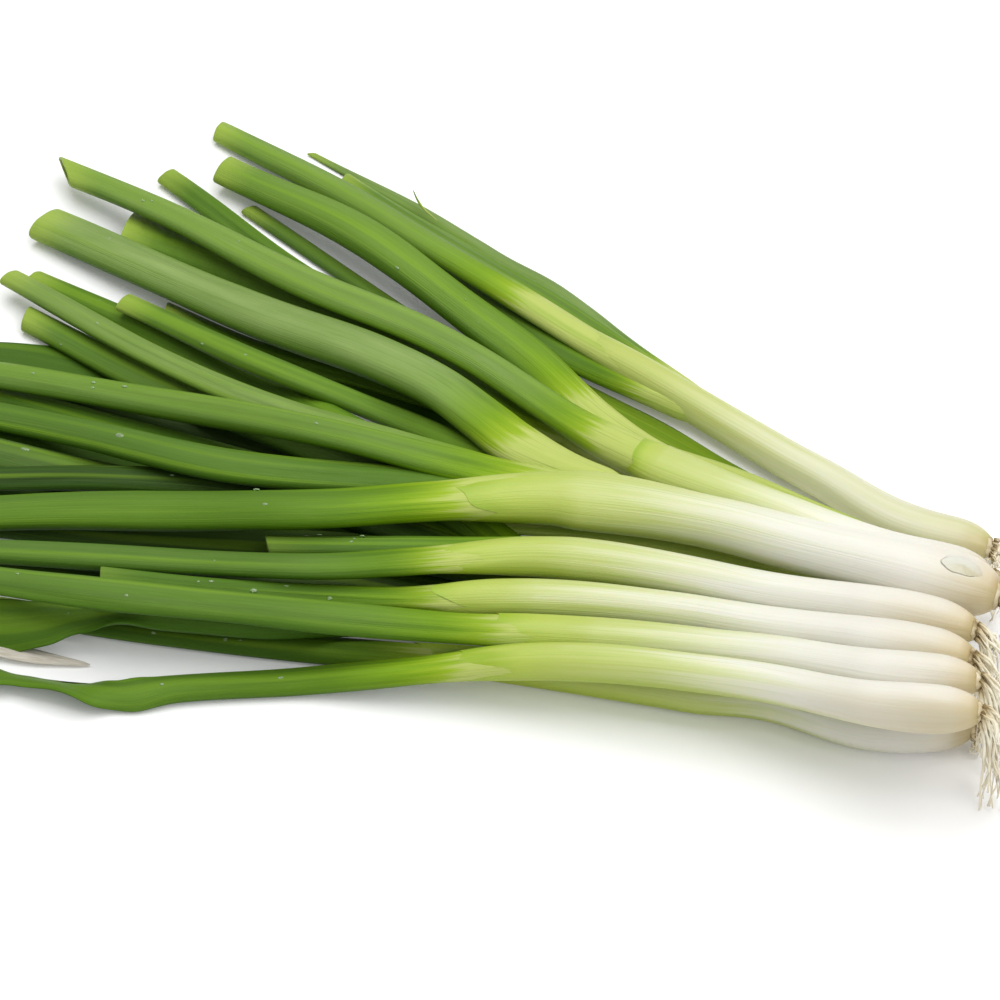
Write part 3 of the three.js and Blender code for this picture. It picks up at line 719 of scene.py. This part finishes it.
def paint_shank():
    """Tan at the plate, cream at the bulb, white along the shank and yellow-green in the neck and
    its sleeve. Painted shade makes the underside and the lower side of the neck a deeper
    yellow-green, and the tan towards the root end, strongest on the side towards the camera, is
    partly painted shade. Thin lengthwise veins show more towards the leaves. The tone is half the
    mark green, moved by broad noise, and coats lie over it."""
    paint = Paint("white_skin", Subsurface_Weight=0.1, Subsurface_Scale=0.003, Specular_IOR_Level=0.35)
    top, side, along = paint.strand_round()
    green, seed = paint.mark("green"), paint.mark("seed")
    veins = paint.noise(top * 9, side * 9, along * 12 + seed, 1.7, 4.0, 0.65)
    streaks = paint.noise(top * 2.2, side * 2.2, along * 12 + seed, 1.3, 2.0)
    patches = paint.noise(top * 1.2, side * 1.2, along * 40 + seed, 1.0, 3.0)
    tones = paint.noise(top * 1.1, side * 1.1, along * 5 + seed, 1.3, 1.0)
    uneven = ((streaks - 0.5) * 0.2 + (tones - 0.5) * 0.34) * green.between(0.1, 0.7)
    near_root = (green / paint.mark("earth")).between(1.0, 0.0)
    colour = paint.coat(
        paint.ramp(green * 0.5 + uneven, SHANK_TONES),
        # The next two coats are painted shade, on the underside and on the lower side of the neck.
        (top.between(0.12, -0.7) * green.between(0.14, 0.6) * 0.85, SHANK_UNDERSIDE_SHADE),
        (top.between(0.6, -0.5) * green.between(0.5, 1.1) * 0.75, NECK_CLEFT_SHADE),
        (paint.mark("olive") * (streaks + 0.2), DULL_OLIVE),
        (veins.between(0.48, 0.72) * (green.between(0.2, 1.1) * 0.45 + 0.05), VEIN_GREEN),
        # Tan towards the root end on the side towards the camera: partly the skin's own colour, partly
        # painted shade.
        (near_root * side.between(-0.3, 0.9) * (streaks + 0.3) * 0.8, ROOT_TAN_AND_SHADE),
        (patches.between(0.62, 0.8) * green.between(0.3, 0.0) * 0.5, WORN_STRAW))
    paint.bump(veins, 0.0003, 0.5)
    return paint.finish(colour, patches * 0.15 + 0.3)


shank_paint = paint_shank()
SHANK_SIDES = 64
SKIN_WALL, RIM_WALL = 0.14, 0.03
RIM_THINNING, SLEEVE_BLEND = 8, 10
SLIT_ANGLE, SLIT_WIDTH, SLIT_DEPTH = 0.75, 0.5, 0.34
MAIN_BASE, MAIN_LATE = (0.96, 0.92), 8
USUAL_TAN_AND_SHADE_REACH = 0.16
SEED_STEP = 3.7
ROOT_END_RINGS = [0.0, 0.4, 1, 1.8, 2.8, 4, 5.5, 7]
BODY_START, BODY_RINGS = 8.5, 84
NECK_RINGS = [*np.linspace(0, 1, 40)[1:-1], 0.99, 0.997, 1]
# How far down inside the rim the last rings lie, and how far in from the skin.
INSIDE_DEPTHS, INSIDE_WALLS = [0.0, 0.3, 2, 5], [0.12, 0.25, 0.5, 1.2]
for k, (onion, shank) in enumerate(zip(ONIONS, shanks)):
    random = np.random.default_rng(100 + k)
    main = [leaf for leaf in leaves if leaf["owner"] == k][onion.get("main", 0)]
    length, sleeve = shank["length"], onion["sleeve"]

    # The rim stands out by the sleeve's length and falls back to a slit on one side.
    angle = ring_angles(SHANK_SIDES)
    slit_angle = SLIT_ANGLE + random.uniform(-0.6, 0.6)
    slit = np.exp(-np.abs(angle_from(slit_angle, angle)) / SLIT_WIDTH)
    rim = length + sleeve * (1 - SLIT_DEPTH * slit + 0.03 * np.sin(4 * angle + k))

    # Rings run over the root end, the body and the neck to the rim, and back inside it.
    even = np.ones_like(angle)
    s = np.vstack([
        np.array(ROOT_END_RINGS)[:, None] * even,
        BODY_START + (length - BODY_START) * np.linspace(0, 1, BODY_RINGS)[:, None] * even,
        length + (rim - length) * np.array(NECK_RINGS)[:, None],
        rim - np.array(INSIDE_DEPTHS)[:, None]])
    wall = (SKIN_WALL - RIM_WALL) * smooth_rise((s - rim + RIM_THINNING) / RIM_THINNING)
    wall[-len(INSIDE_WALLS):] = np.array(INSIDE_WALLS)[:, None]

    # Past the neck the skin takes the size of the main leaf, and low waves run all over it.
    s_neck = np.clip(s - length, 0, None)
    shank_across, shank_up = shank_half(onion, np.minimum(s, length), length)
    main_across, main_up = leaf_half(
        onion, main["leaf"], s_neck, main["length"], base=MAIN_BASE, late=MAIN_LATE)
    blend = smooth_rise(s_neck / SLEEVE_BLEND)
    waves = 0.010 * low_waves(s, angle, (2, 3, 4, 6), (14, 40), random)
    bulge = 1 + 0.05 * bell((s - 12) / 9) * np.cos(angle * 2 + random.uniform(0, 6))
    across = (shank_across * (1 - blend) + (main_across + SKIN_WALL) * blend - wall) * (1 + waves) * bulge
    up = (shank_up * (1 - blend) + (main_up + SKIN_WALL) * blend - wall) * (1 + waves) * bulge
    skins = Skins()
    skins.add(
        wrap_strand(main, s - length, across, up, angle), s,
        green=np.minimum(s / length, 1) * onion.get("ripe", 1) + s_neck / sleeve,
        seed=k * SEED_STEP, olive=onion.get("olive", 0.0), earth=onion.get("earth", USUAL_TAN_AND_SHADE_REACH))
    skins.piece(f"shank_{k + 1:02d}", shank_paint, f"onion_{k + 1:02d}_shank", slot="white_stem")

# ---------------------------------------------------------------- peeling skin
# A scale of the outer skin has come loose on the top of the biggest bulb, near its root end. It
# is thin as paper and still grows on the bulb along its middle.

SCALE_SIDES = 48
SCALE_THICKNESS = 0.1
SCALE_SUNK, SCALE_LOOSE, LOOSE_SIDE = 0.14, 0.24, 1.0


def lay_scale(strand, s_middle, angle_middle, half_length, half_turn):
    """A thin lens on the strand: rings that grow from its middle to an oval, uneven edge and
    come back underneath. Its middle is raised by its thickness, times one minus the square of
    the radius. Its edge is sunk below the skin, but lifted on its loose side by the cosine of
    the way round from there, times the square of the radius."""
    over, under = np.linspace(0.05, 1, 12)[:, None], np.linspace(0.98, 0.05, 6)[:, None]
    radius = np.vstack([over, under])
    round_edge = ring_angles(SCALE_SIDES)
    loose = SCALE_LOOSE * np.clip(np.cos(round_edge - LOOSE_SIDE), 0, 1) - SCALE_SUNK
    lift = np.vstack([
        SCALE_THICKNESS * (1 - over ** 2) + loose * over ** 2,
        np.full((len(under), SCALE_SIDES), -SCALE_THICKNESS)])
    edge = radius * (1 + 0.05 * np.sin(3 * round_edge) + 0.03 * np.sin(7 * round_edge))
    s = s_middle + half_length * edge * np.cos(round_edge)
    angle = angle_middle + half_turn * edge * np.sin(round_edge)
    across, up = strand["half"](s)
    return wrap_strand(strand, s, across + lift, up + lift, angle), s


BIGGEST = max(range(len(ONIONS)), key=lambda k: ONIONS[k]["bulb"])
skins = Skins()
scale, s = lay_scale(shanks[BIGGEST], s_middle=9.5, angle_middle=0.1, half_length=5.2, half_turn=0.36)
skins.add(
    scale, s, green=s / shanks[BIGGEST]["length"] * ONIONS[BIGGEST]["ripe"],
    seed=BIGGEST * SEED_STEP, olive=0.0, earth=ONIONS[BIGGEST]["earth"])
skins.piece("peeling_skin", shank_paint, slot="white_stem")

# ---------------------------------------------------------------- green leaves
# The leaves of one onion come out of its neck one within another. Each is a hollow tube, a
# little flattened, with fine ribs, lime at the neck and cut off at its end.

LEAF_TONES = [
    (0.0, (0.48, 0.56, 0.14)), (0.07, (0.31, 0.45, 0.02)), (0.2, (0.19, 0.34, 0.003)),
    (0.45, (0.105, 0.225, 0.002)), (0.75, (0.082, 0.185, 0.003)), (1.0, (0.095, 0.205, 0.007))]
# Tint colours: painted light, a darker tone of the leaf's own together with painted shade, and the deep
# painted shade of buried leaves.
LIGHT_GREEN, DARK_TONE_AND_SHADE_GREEN, BURIED_SHADE_GREEN = (0.17, 0.31, 0.012), (0.035, 0.115, 0.006), (0.012, 0.04, 0.003)
# Dark patches, the painted shade of the underside, and the top's bloom with painted sheen.
DARK_PATCH, LEAF_UNDERSIDE_SHADE, BLOOM_AND_SHEEN_GREEN = (0.045, 0.12, 0.003), (0.022, 0.065, 0.002), (0.32, 0.43, 0.15)
RIB_DARK, LIME_PATCH, RIB_LIGHT = (0.05, 0.14, 0.003), (0.23, 0.40, 0.02), (0.24, 0.39, 0.03)
DRIED_END, CUT_RIM, HOLLOW_GREEN = (0.36, 0.49, 0.07), (0.42, 0.54, 0.15), (0.12, 0.2, 0.02)


def paint_leaf():
    """Lime where it leaves the neck, then bright and deep green, by the mark grown and noise. The
    coats over it are the leaf's tint, partly painted light and shade, patches, painted shade on the
    underside, the bloom on top with painted sheen, the fine ribs, the dried end, the cut rim and
    the hollow."""
    paint = Paint("leaf_green", Specular_IOR_Level=0.16)
    top, side, along = paint.strand_round()
    grown, seed, tint, bloom, end, cut, inner = (
        paint.mark(name) for name in ("grown", "seed", "tint", "bloom", "end", "cut", "inner"))
    ribs = paint.noise(top * 7, side * 7, along * 7 + seed, 2.2, 4.0, 0.7)
    streaks = paint.noise(top * 2.5, side * 2.5, along * 14 + seed, 1.5, 3.0)
    patches = paint.noise(top, side, along * 25 + seed, 1.6, 3.0)
    tones = paint.noise(top * 0.9, side * 0.9, along * 3.5 + seed, 1.5, 1.0)
    out_of_neck = grown.between(-0.05, 0.2)
    # Bloom lies on the top only: partly the leaf's own wax, partly painted sheen.
    bloom_and_sheen = (bloom * 0.5 + 0.04) * (patches + 0.35)
    colour = paint.coat(
        paint.ramp(grown + (streaks - 0.5) * 0.35, LEAF_TONES),
        # Tint coats: painted light above zero, painted shade below it, deepest for buried leaves.
        (tint.between(0.0, 1.0) * out_of_neck * 0.45, LIGHT_GREEN),
        (tint.between(0.0, -1.0) * out_of_neck * 0.5, DARK_TONE_AND_SHADE_GREEN),
        (tint.between(-1.0, -2.0) * out_of_neck * 0.9, BURIED_SHADE_GREEN),
        (tones.between(0.5, 0.32) * grown.between(0.0, 0.3) * 0.55, DARK_PATCH),
        # Painted shade on the underside.
        (top.between(0.15, -0.7) * grown.between(-0.1, 0.3) * 0.65, LEAF_UNDERSIDE_SHADE),
        # The top's bloom, partly the leaf's wax and partly painted sheen.
        (top.between(-0.2, 1.0) * grown.between(0.1, 0.5) * bloom_and_sheen, BLOOM_AND_SHEEN_GREEN),
        (ribs.between(0.5, 0.75) * 0.4, RIB_DARK),
        (tones.between(0.52, 0.7) * top.between(-0.4, 0.4) * 0.4, LIME_PATCH),
        (ribs.between(0.45, 0.25) * 0.3, RIB_LIGHT),
        (end * (patches * 0.7 + 0.35), DRIED_END),
        (cut * 0.8, CUT_RIM),
        (inner, HOLLOW_GREEN))
    paint.bump(ribs, 0.0004, 0.6)
    return paint.finish(colour, patches * 0.2 + 0.34)


LEAF_SIDES = 40
OUTSIDE_RINGS = 120
BURIED_START = -22
ROUNDED_END = [0.4, 0.08]
END_WALL, LIP_WALL, LEAF_WALL = 0.12, 0.3, 0.75
HOLLOW_DEPTHS = [0.0, 0.1, 0.6, 2, 5, 9, 13]


def leaf_rings(length, is_pointed):
    """The distances of a leaf's rings and how far each is drawn in from the skin. They run along
    the outside, from within the neck to the end, and where it is cut back down the hollow, a
    wall's thickness in. The third value is how many of them are outside."""
    outside = np.concatenate([
        np.linspace(BURIED_START, length - 1, OUTSIDE_RINGS), length - np.array(ROUNDED_END)])
    hollow = [] if is_pointed else length - np.array(HOLLOW_DEPTHS)
    s = np.concatenate([outside, hollow])[:, None]
    wall = np.zeros_like(s)
    wall[len(outside) - 1] = END_WALL
    wall[len(outside):] = LEAF_WALL
    wall[len(outside):len(outside) + 1] = LIP_WALL
    return s, wall, len(outside)


CREASE_WIDTH, CREASE_LENGTH = 0.3, 32
RIDGE_WIDTH, RIDGE_HEIGHT = 0.28, 0.07


def leaf_relief(s, angle, free, length, random):
    """A factor on the size: one plus low waves, times one less a crease, a bell round and along,
    times one plus a ridge, a bell round that winds along the leaf. Waves and ridge grow with
    free, which is 0 in the neck and 1 well out of it."""
    dents = 1 + 0.035 * free * low_waves(s, angle, (2, 3, 4), (15, 50), random)
    crease_angle = random.uniform(-1.2, 1.2) + 0.3 * np.sin(s / random.uniform(20, 40))
    crease_place = random.uniform(0.35, 0.8) * length
    crease_spot = (bell(angle_from(crease_angle, angle) / CREASE_WIDTH)
                   * bell((s - crease_place) / CREASE_LENGTH))
    crease = 1 - random.uniform(0.05, 0.2) * crease_spot
    ridge_angle = random.uniform(-0.7, 0.9) + 0.2 * np.sin(s / 30)
    ridge = 1 + RIDGE_HEIGHT * free * bell(angle_from(ridge_angle, angle) / RIDGE_WIDTH)
    return dents * crease * ridge


leaf_paint = paint_leaf()
SIDE_BASE = (0.62, 0.66)
# The station where the leaves of one onion are ordered across its fan.
FAN_STATION = 8
# Lengths over which a leaf changes: it comes free of the neck, leaves its buried start and the
# fan, grows limp or wrinkled, is cut at a slant, turns from lime to green, and dries.
FREE_LENGTH, BURIED_LENGTH, FAN_LENGTH = 60, 20, 35
LIMP_LENGTH, WRINKLED_LENGTH, SLANT_LENGTH = 25, 20, 25
GREENING_LENGTH, DRIED_LENGTH = 75, 14
# The green starts at this share of the sleeve on a main leaf, and this far out on another.
MAIN_EMERGING, SIDE_EMERGING = 0.9, 8
for k, onion in enumerate(ONIONS):
    skins = Skins()
    own = [leaf for leaf in leaves if leaf["owner"] == k]
    fan_order = np.argsort(np.argsort([-leaf["laid"][FAN_STATION][1] for leaf in own]))
    half_neck = shanks[k]["half"](shanks[k]["length"])[0]
    for n, strand in enumerate(own):
        random = np.random.default_rng(1000 + 20 * k + n)
        leaf, length = strand["leaf"], strand["length"]
        is_main = n == onion.get("main", 0)

        # The size blends from the neck's to the leaf's own, with a slow wave along it.
        angle = ring_angles(LEAF_SIDES)
        s, wall, outside = leaf_rings(length, leaf.get("point", False))
        free = smooth_rise(s / FREE_LENGTH)
        across, up = leaf_half(
            onion, leaf, np.clip(s, 0, length), length,
            base=MAIN_BASE if is_main else SIDE_BASE, late=MAIN_LATE if is_main else 0)
        buried = 1 - 0.6 * smooth_rise(-s / BURIED_LENGTH)
        width_wave = 1 + 0.04 * np.sin(s / random.uniform(9, 16) + random.uniform(0, 6)) * free
        relief = leaf_relief(s, angle, free, length, random)

        # A limp stretch is wider, flat, folded and ruffled at its edges, and rolls from side to
        # side. A wrinkled one is wider and lower, with fine waves.
        limp = smooth_rise((s - leaf.get("limp", length)) / LIMP_LENGTH)
        folds = 1 - 1.1 * np.cos((s - random.uniform(0, 20)) / 8) ** 8
        wrinkled = smooth_rise((s - leaf.get("wrinkled", length)) / WRINKLED_LENGTH)
        fine_waves = np.sin(s * 0.9 + 3 * np.sin(2 * angle)) + np.sin(s * 1.7 + 4 * np.sin(angle + 1))
        wider = 1 + 0.36 * limp * folds + 0.25 * wrinkled
        lower = 1 - 0.62 * limp - 0.2 * wrinkled
        across_skin = (across * width_wave * buried * wider - wall) * relief
        up_skin = (up * width_wave * buried * lower - wall * (1 - 0.6 * limp)) * relief
        roll = 0.75 * limp * np.sin(s / 10 + random.uniform(0, 6))
        edge = np.sin(angle) ** 2 * np.sign(np.sin(angle))
        ruffle = limp * 0.9 * np.sin(s / 3.7 + random.uniform(0, 6)) * edge

        # In the neck the leaves stand side by side, fanned out, and the end is cut at a slant.
        fan = 0 if is_main or len(own) == 1 else 2 * fan_order[n] / (len(own) - 1) - 1
        in_fan = (1 - smooth_rise(s / FAN_LENGTH)) * smooth_rise((s + BURIED_LENGTH) / BURIED_LENGTH)
        sway = 0.5 * free * np.sin(s / random.uniform(14, 24) + random.uniform(0, 6))
        slant = leaf.get("slant", random.uniform(-0.35, 0.35) * leaf["width"] / 2)
        slanted = slant * np.sin(angle) * smooth_rise((s - length + SLANT_LENGTH) / SLANT_LENGTH)
        ring = np.arange(len(s))[:, None]
        grid = wrap_strand(
            strand, s + slanted, across_skin, up_skin * (1 + 0.05 * wrinkled * fine_waves), angle,
            shift=sway + fan * (half_neck * 0.9 - across[0]) * in_fan,
            raised=ruffle + 0.5 * limp, roll=roll, floor=np.where(ring < outside, 0, LEAF_WALL * 0.5))

        # The marks: how far out of the neck it is, its looks, its dried end, cut and hollow.
        emerging = leaf.get("pale", onion["sleeve"] * MAIN_EMERGING if is_main else SIDE_EMERGING)
        dried = leaf.get("dried", 1)
        skins.add(
            grid, np.clip(s, 0, length),
            grown=(s - emerging) / GREENING_LENGTH, seed=random.uniform(0, 50),
            tint=leaf.get("tint", random.uniform(-0.6, 0.6)),
            bloom=leaf.get("bloom", random.uniform(0, 0.3)),
            end=smooth_rise((s - length + DRIED_LENGTH - 1) / DRIED_LENGTH) * dried,
            cut=np.where((s > length - 0.5) & (ring >= outside - 1), dried, 0.0),
            inner=np.where(ring > outside, smooth_rise((length - s) / 6), 0.0))
    skins.piece(f"leaves_{k + 1:02d}", leaf_paint, f"onion_{k + 1:02d}_leaves", slot="green_leaf")

# ---------------------------------------------------------------- torn sheaths
# Old outer leaves have split off: a narrow green strip clings to one shank, a stalk lies between
# two of them, a thread stands off the back edge, and a dry pale sliver lies flat on the table under
# the others. Dark leaves lie flat there too, painted as shade to fill the gaps under the leaves above.


def paint_dry_sheath():
    """Papery beige with fine lengthwise fibres, which are noise drawn out along the strip."""
    paint = Paint("dry_sheath", Specular_IOR_Level=0.2)
    turn, along = paint.strand_place()
    fibres = paint.noise(turn * 12, along * 60, 0.0, 2.0, 3.0)
    colour = paint.ramp(fibres, [(0.3, (0.50, 0.45, 0.36)), (0.7, (0.72, 0.68, 0.60))])
    paint.bump(fibres, 0.0003, 0.6)
    return paint.finish(colour, 0.6)


STRIP_RINGS, STRIP_SIDES = 40, 14
STRIP_PATTERN = 80


def lay_strip(route, half_width, half_height):
    """A strip with pointed ends on the smooth curve through the route. Its half width and half
    height follow the square root of a sine, from nothing to full and back."""
    points = np.array(route, float)
    t = np.linspace(0, 1, STRIP_RINGS)[:, None]
    swell = np.sqrt(np.sin(np.pi * np.clip(t, 0.002, 0.998)))
    angle = ring_angles(STRIP_SIDES)
    strand = dict(place=curve_through(points, t[:, 0] * (len(points) - 1)), length=1.0)
    ripple = 1 + 0.12 * np.sin(9 * t + 2 * angle)
    grid = wrap_strand(strand, t, half_width * swell * ripple, half_height * swell, angle)
    return grid, t * STRIP_PATTERN


FALLEN_STALK = [
    (98, -6, 8), (80, -6.5, 8), (62, -6.5, 8), (45, -7, 8), (24, -9, 7), (4, -14, 6), (-16, -18, 5)]
THREAD = [(-59.8, 96.4, 6), (-57.4, 93.5, 5.5), (-55.1, 91.5, 5), (-50, 89, 4)]
DRY_SLIVER = [(-116, -94, 2.5), (-100, -91.5, 2), (-86, -89.5, 1.2), (-73.4, -87, 0.5)]
# Dark leaves under the others as painted shade: half their width, how grown their colour is, and where they
# lie on the table.
SHADE_FILL_HEIGHT, SHADE_FILL_HALF_HEIGHT = 0.6, 0.45
SHADE_FILL_LEAVES = [
    (7.5, 0.8, [(-151, 4), (-128, 7), (-104, 6), (-80, 3), (-55, 0)]),
    (4.5, 0.8, [(-148, -28), (-122, -23), (-95, -20.5), (-68, -18), (-40, -15)]),
    (3, 0.8, [(-140, -47), (-118, -41), (-100, -34.5), (-78, -27)]),
    (4.5, 0.8, [(-75, 30), (-41, 24), (-18, 20), (8, 13)]),
    (3.5, 0.8, [(-45, -40), (-16, -34), (2, -30.5), (30, -24)]),
    (2.9, 0.1, [(-30, 56), (-8, 49), (12, 42), (30, 36.5), (48, 30.5), (66, 26)]),
]
# The marks of a strip without bloom, dried end, cut or hollow.
UNCUT = dict(bloom=0.0, end=0.0, cut=0.0, inner=0.0)

# The clinging strip follows its shank high on the back, from just past the neck's end.
CLINGING_FROM, CLINGING_TO, CLINGING_POINTS = 8, -52, 12
CLINGING_SIDE, CLINGING_UP = 0.8, 0.62
held_by = shanks[5]
s = held_by["length"] + np.linspace(CLINGING_FROM, CLINGING_TO, CLINGING_POINTS)
middle, _, sideways, upward = strand_frame(held_by, s)
across, up = held_by["half"](np.minimum(s, held_by["length"]))
clinging = (middle - sideways * (across * CLINGING_SIDE)[:, None]
            + upward * (up * CLINGING_UP)[:, None])

skins = Skins()
for route, half_width, half_height, grown in (
        (clinging, 1.2, 0.45, -0.1), (FALLEN_STALK, 4.4, 2, -0.02), (THREAD, 0.3, 0.3, 0.3)):
    grid, s = lay_strip(route, half_width, half_height)
    skins.add(grid, s, grown=grown * (1 - s / 60), seed=3.0, tint=-0.5, **UNCUT)
skins.piece("torn_stalk", leaf_paint, slot="green_leaf")
skins = Skins()
for half_width, grown, route in SHADE_FILL_LEAVES:
    grid, s = lay_strip([(x, y, SHADE_FILL_HEIGHT) for x, y in route], half_width, SHADE_FILL_HALF_HEIGHT)
    # A tint of -1.4 paints them dark as shade.
    skins.add(grid, s, grown=grown, seed=float(half_width), tint=-1.4, **UNCUT)
skins.piece("shade_fill_leaves", leaf_paint, slot="green_leaf")
skins = Skins()
skins.add(*lay_strip(DRY_SLIVER, half_width=2.2, half_height=0.3))
skins.piece("dry_sliver", paint_dry_sheath())

# ---------------------------------------------------------------- roots
# A hard tan plate closes each bulb. A tuft of thin dry roots grows from it and hangs down to
# the table.

ROOT_TONES = [
    (0.0, (0.22, 0.15, 0.06)), (0.1, (0.58, 0.48, 0.29)), (0.3, (0.88, 0.81, 0.63)),
    (0.7, (0.95, 0.91, 0.76)), (1.0, (0.88, 0.81, 0.64))]


def paint_root():
    """Straw, darker at the plate, paler along each root, by the distance along and noise."""
    paint = Paint("root_straw", Specular_IOR_Level=0.2)
    turn, along = paint.strand_place()
    grain = paint.noise(turn * 3, along * 200, paint.mark("seed"), 2.0, 3.0)
    paint.bump(grain, 0.0002, 0.5)
    return paint.finish(paint.ramp(along * 90 + (grain - 0.5) * 0.6, ROOT_TONES), 0.75)


ROOT_SAMPLES, ROOT_SIDES = 16, 5
TUFT_HEIGHT, TUFT_WIDTH = 2.5, 2.2
TABLE_GAP, LOWEST_ROOT = 0.3, 0.4
# How much of a wave bends a root outwards, to the side and up or down.
WAVE_SHARES = [[0.6], [1], [0.7]]


def hang_root(start, fall, is_long, t, random):
    """A root's path from the plate, at shares t of it. It runs out by its reach times 1 less the
    square of 1 - t, spreads to the side, and drops to the table or, where it isn't long, a share
    of the way. Waves that grow with t bend it."""
    around, spread = random.uniform(0, 2 * np.pi), np.sqrt(random.uniform())
    sideways, upwards = np.cos(around) * spread, np.sin(around) * spread
    top = start[2] + upwards * TUFT_HEIGHT
    share = 1 if is_long else random.uniform(0.35, 1)
    drop = max(top - TABLE_GAP - random.uniform(0, 2), 0) * share
    height, phase, pace = (random.uniform(*span, (3, 1)) for span in ((0.5, 2.4), (0, 6), (3, 13)))
    wave = height * np.sin(phase + pace * t) * t * np.array(WAVE_SHARES)
    reach = fall * (random.uniform(0.35, 0.7) + 0.3 * upwards)
    return np.stack([
        start[0] + reach * (1 - (1 - t) ** 2) + wave[0],
        start[1] + sideways * (TUFT_WIDTH + TUFT_WIDTH * t) + wave[1],
        np.maximum(top - drop * t * (0.4 + 0.6 * t) + wave[2], LOWEST_ROOT)], -1)


root_paint = paint_root()
PLATE_SIDES = 24
PLATE_RINGS, PLATE_RADII = [-1.2, -1.1, -0.7, -0.3, 0.1, 0.5], [0.4, 1.2, 2.0, 2.5, 2.7, 2.3]
USUAL_BULB = 10.5
PLATE_PATTERN = 1.3
TUFT_START = -0.9
FINE_ROOTS = 4
for k, (onion, shank) in enumerate(zip(ONIONS, shanks)):
    random = np.random.default_rng(500 + k)
    skins = Skins()
    angle = ring_angles(PLATE_SIDES)
    s = np.array(PLATE_RINGS)[:, None]
    rough = 1 + 0.10 * np.cos(5 * angle + s * 2) + 0.07 * np.cos(9 * angle - s)
    radius = np.array(PLATE_RADII)[:, None] * (onion["bulb"] / USUAL_BULB) * rough
    skins.add(wrap_strand(shank, s, radius, radius, angle), PLATE_PATTERN, seed=float(k))
    start = strand_frame(shank, np.array([TUFT_START]))[0][0]
    t = np.linspace(0, 1, ROOT_SAMPLES)
    for n in range(onion["roots"] * FINE_ROOTS):
        path = hang_root(start, onion["fall"], n % 3 == 0, t, random)
        knots = 1 + 0.2 * np.sin(random.uniform(0, 6) + 23 * t)
        thick = random.uniform(0.2, 0.58) * ((1 - 0.6 * t) * knots)[:, None]
        grid = wrap_strand(dict(place=path, length=1.0), t[:, None], thick, thick, ring_angles(ROOT_SIDES))
        skins.add(grid, distance_run(path)[:, None], seed=random.uniform(0, 50))
    skins.piece(f"roots_{k + 1:02d}", root_paint, f"onion_{k + 1:02d}_roots", slot="root")

# ---------------------------------------------------------------- water drops
# Small drops of rinsing water stand on the upper sides of the leaves. The wax there keeps them
# as clear flat beads, one in a few bigger than the rest.

DROP_COUNT = 70
DROP_RINGS, DROP_SIDES = 7, 12
DROP_HEIGHT = 0.55
DROPS_FROM, END_MARGIN = 50, 5
BIG_SHARE, BIG_SCALE = 0.15, 1.7
UPPER_LAYER = 3


def lay_drop(foot, onward, away, size, stretch):
    """A flat bead on its foot: rings whose bend runs from below its widest to near its top. The
    sine of the bend times the size is a ring's radius, stretched onward, and its cosine times the
    size and the drop's height is how far away from the leaf the ring stands."""
    bend = np.linspace(2.0, 0.12, DROP_RINGS)[:, None]
    turn = -ring_angles(DROP_SIDES)
    radius = np.sin(bend) * size * (1 + 0.1 * np.cos(2 * turn))
    grid = (foot + (radius * np.cos(turn))[..., None] * onward * stretch
            + (radius * np.sin(turn))[..., None] * np.cross(away, onward)
            + (np.cos(bend) * size * DROP_HEIGHT * np.ones_like(turn))[..., None] * away)
    return grid, bend


random = np.random.default_rng(7)
upper_leaves = [leaf for leaf in leaves if leaf["layer"] > UPPER_LAYER]
skins = Skins()
for n in range(DROP_COUNT):
    strand = upper_leaves[random.integers(len(upper_leaves))]
    s = np.array([[random.uniform(DROPS_FROM, strand["length"] - END_MARGIN)]])
    angle = np.array([[random.normal(0, 0.5)]])
    foot = wrap_strand(strand, s, *strand["half"](s), angle)[0, 0]
    middle, onward, _, _ = (part[0, 0] for part in strand_frame(strand, s))
    away = (foot - middle) / np.linalg.norm(foot - middle)
    size = random.uniform(0.2, 0.5) * (1 if random.uniform() < 1 - BIG_SHARE else BIG_SCALE)
    skins.add(*lay_drop(foot, onward, away, size, stretch=random.uniform(1, 1.8)))
water = Paint("water", Base_Color=(0.6, 0.78, 0.45), Transmission_Weight=0.65, IOR=1.33, Roughness=0.04)
skins.piece("water_drops", water.material)
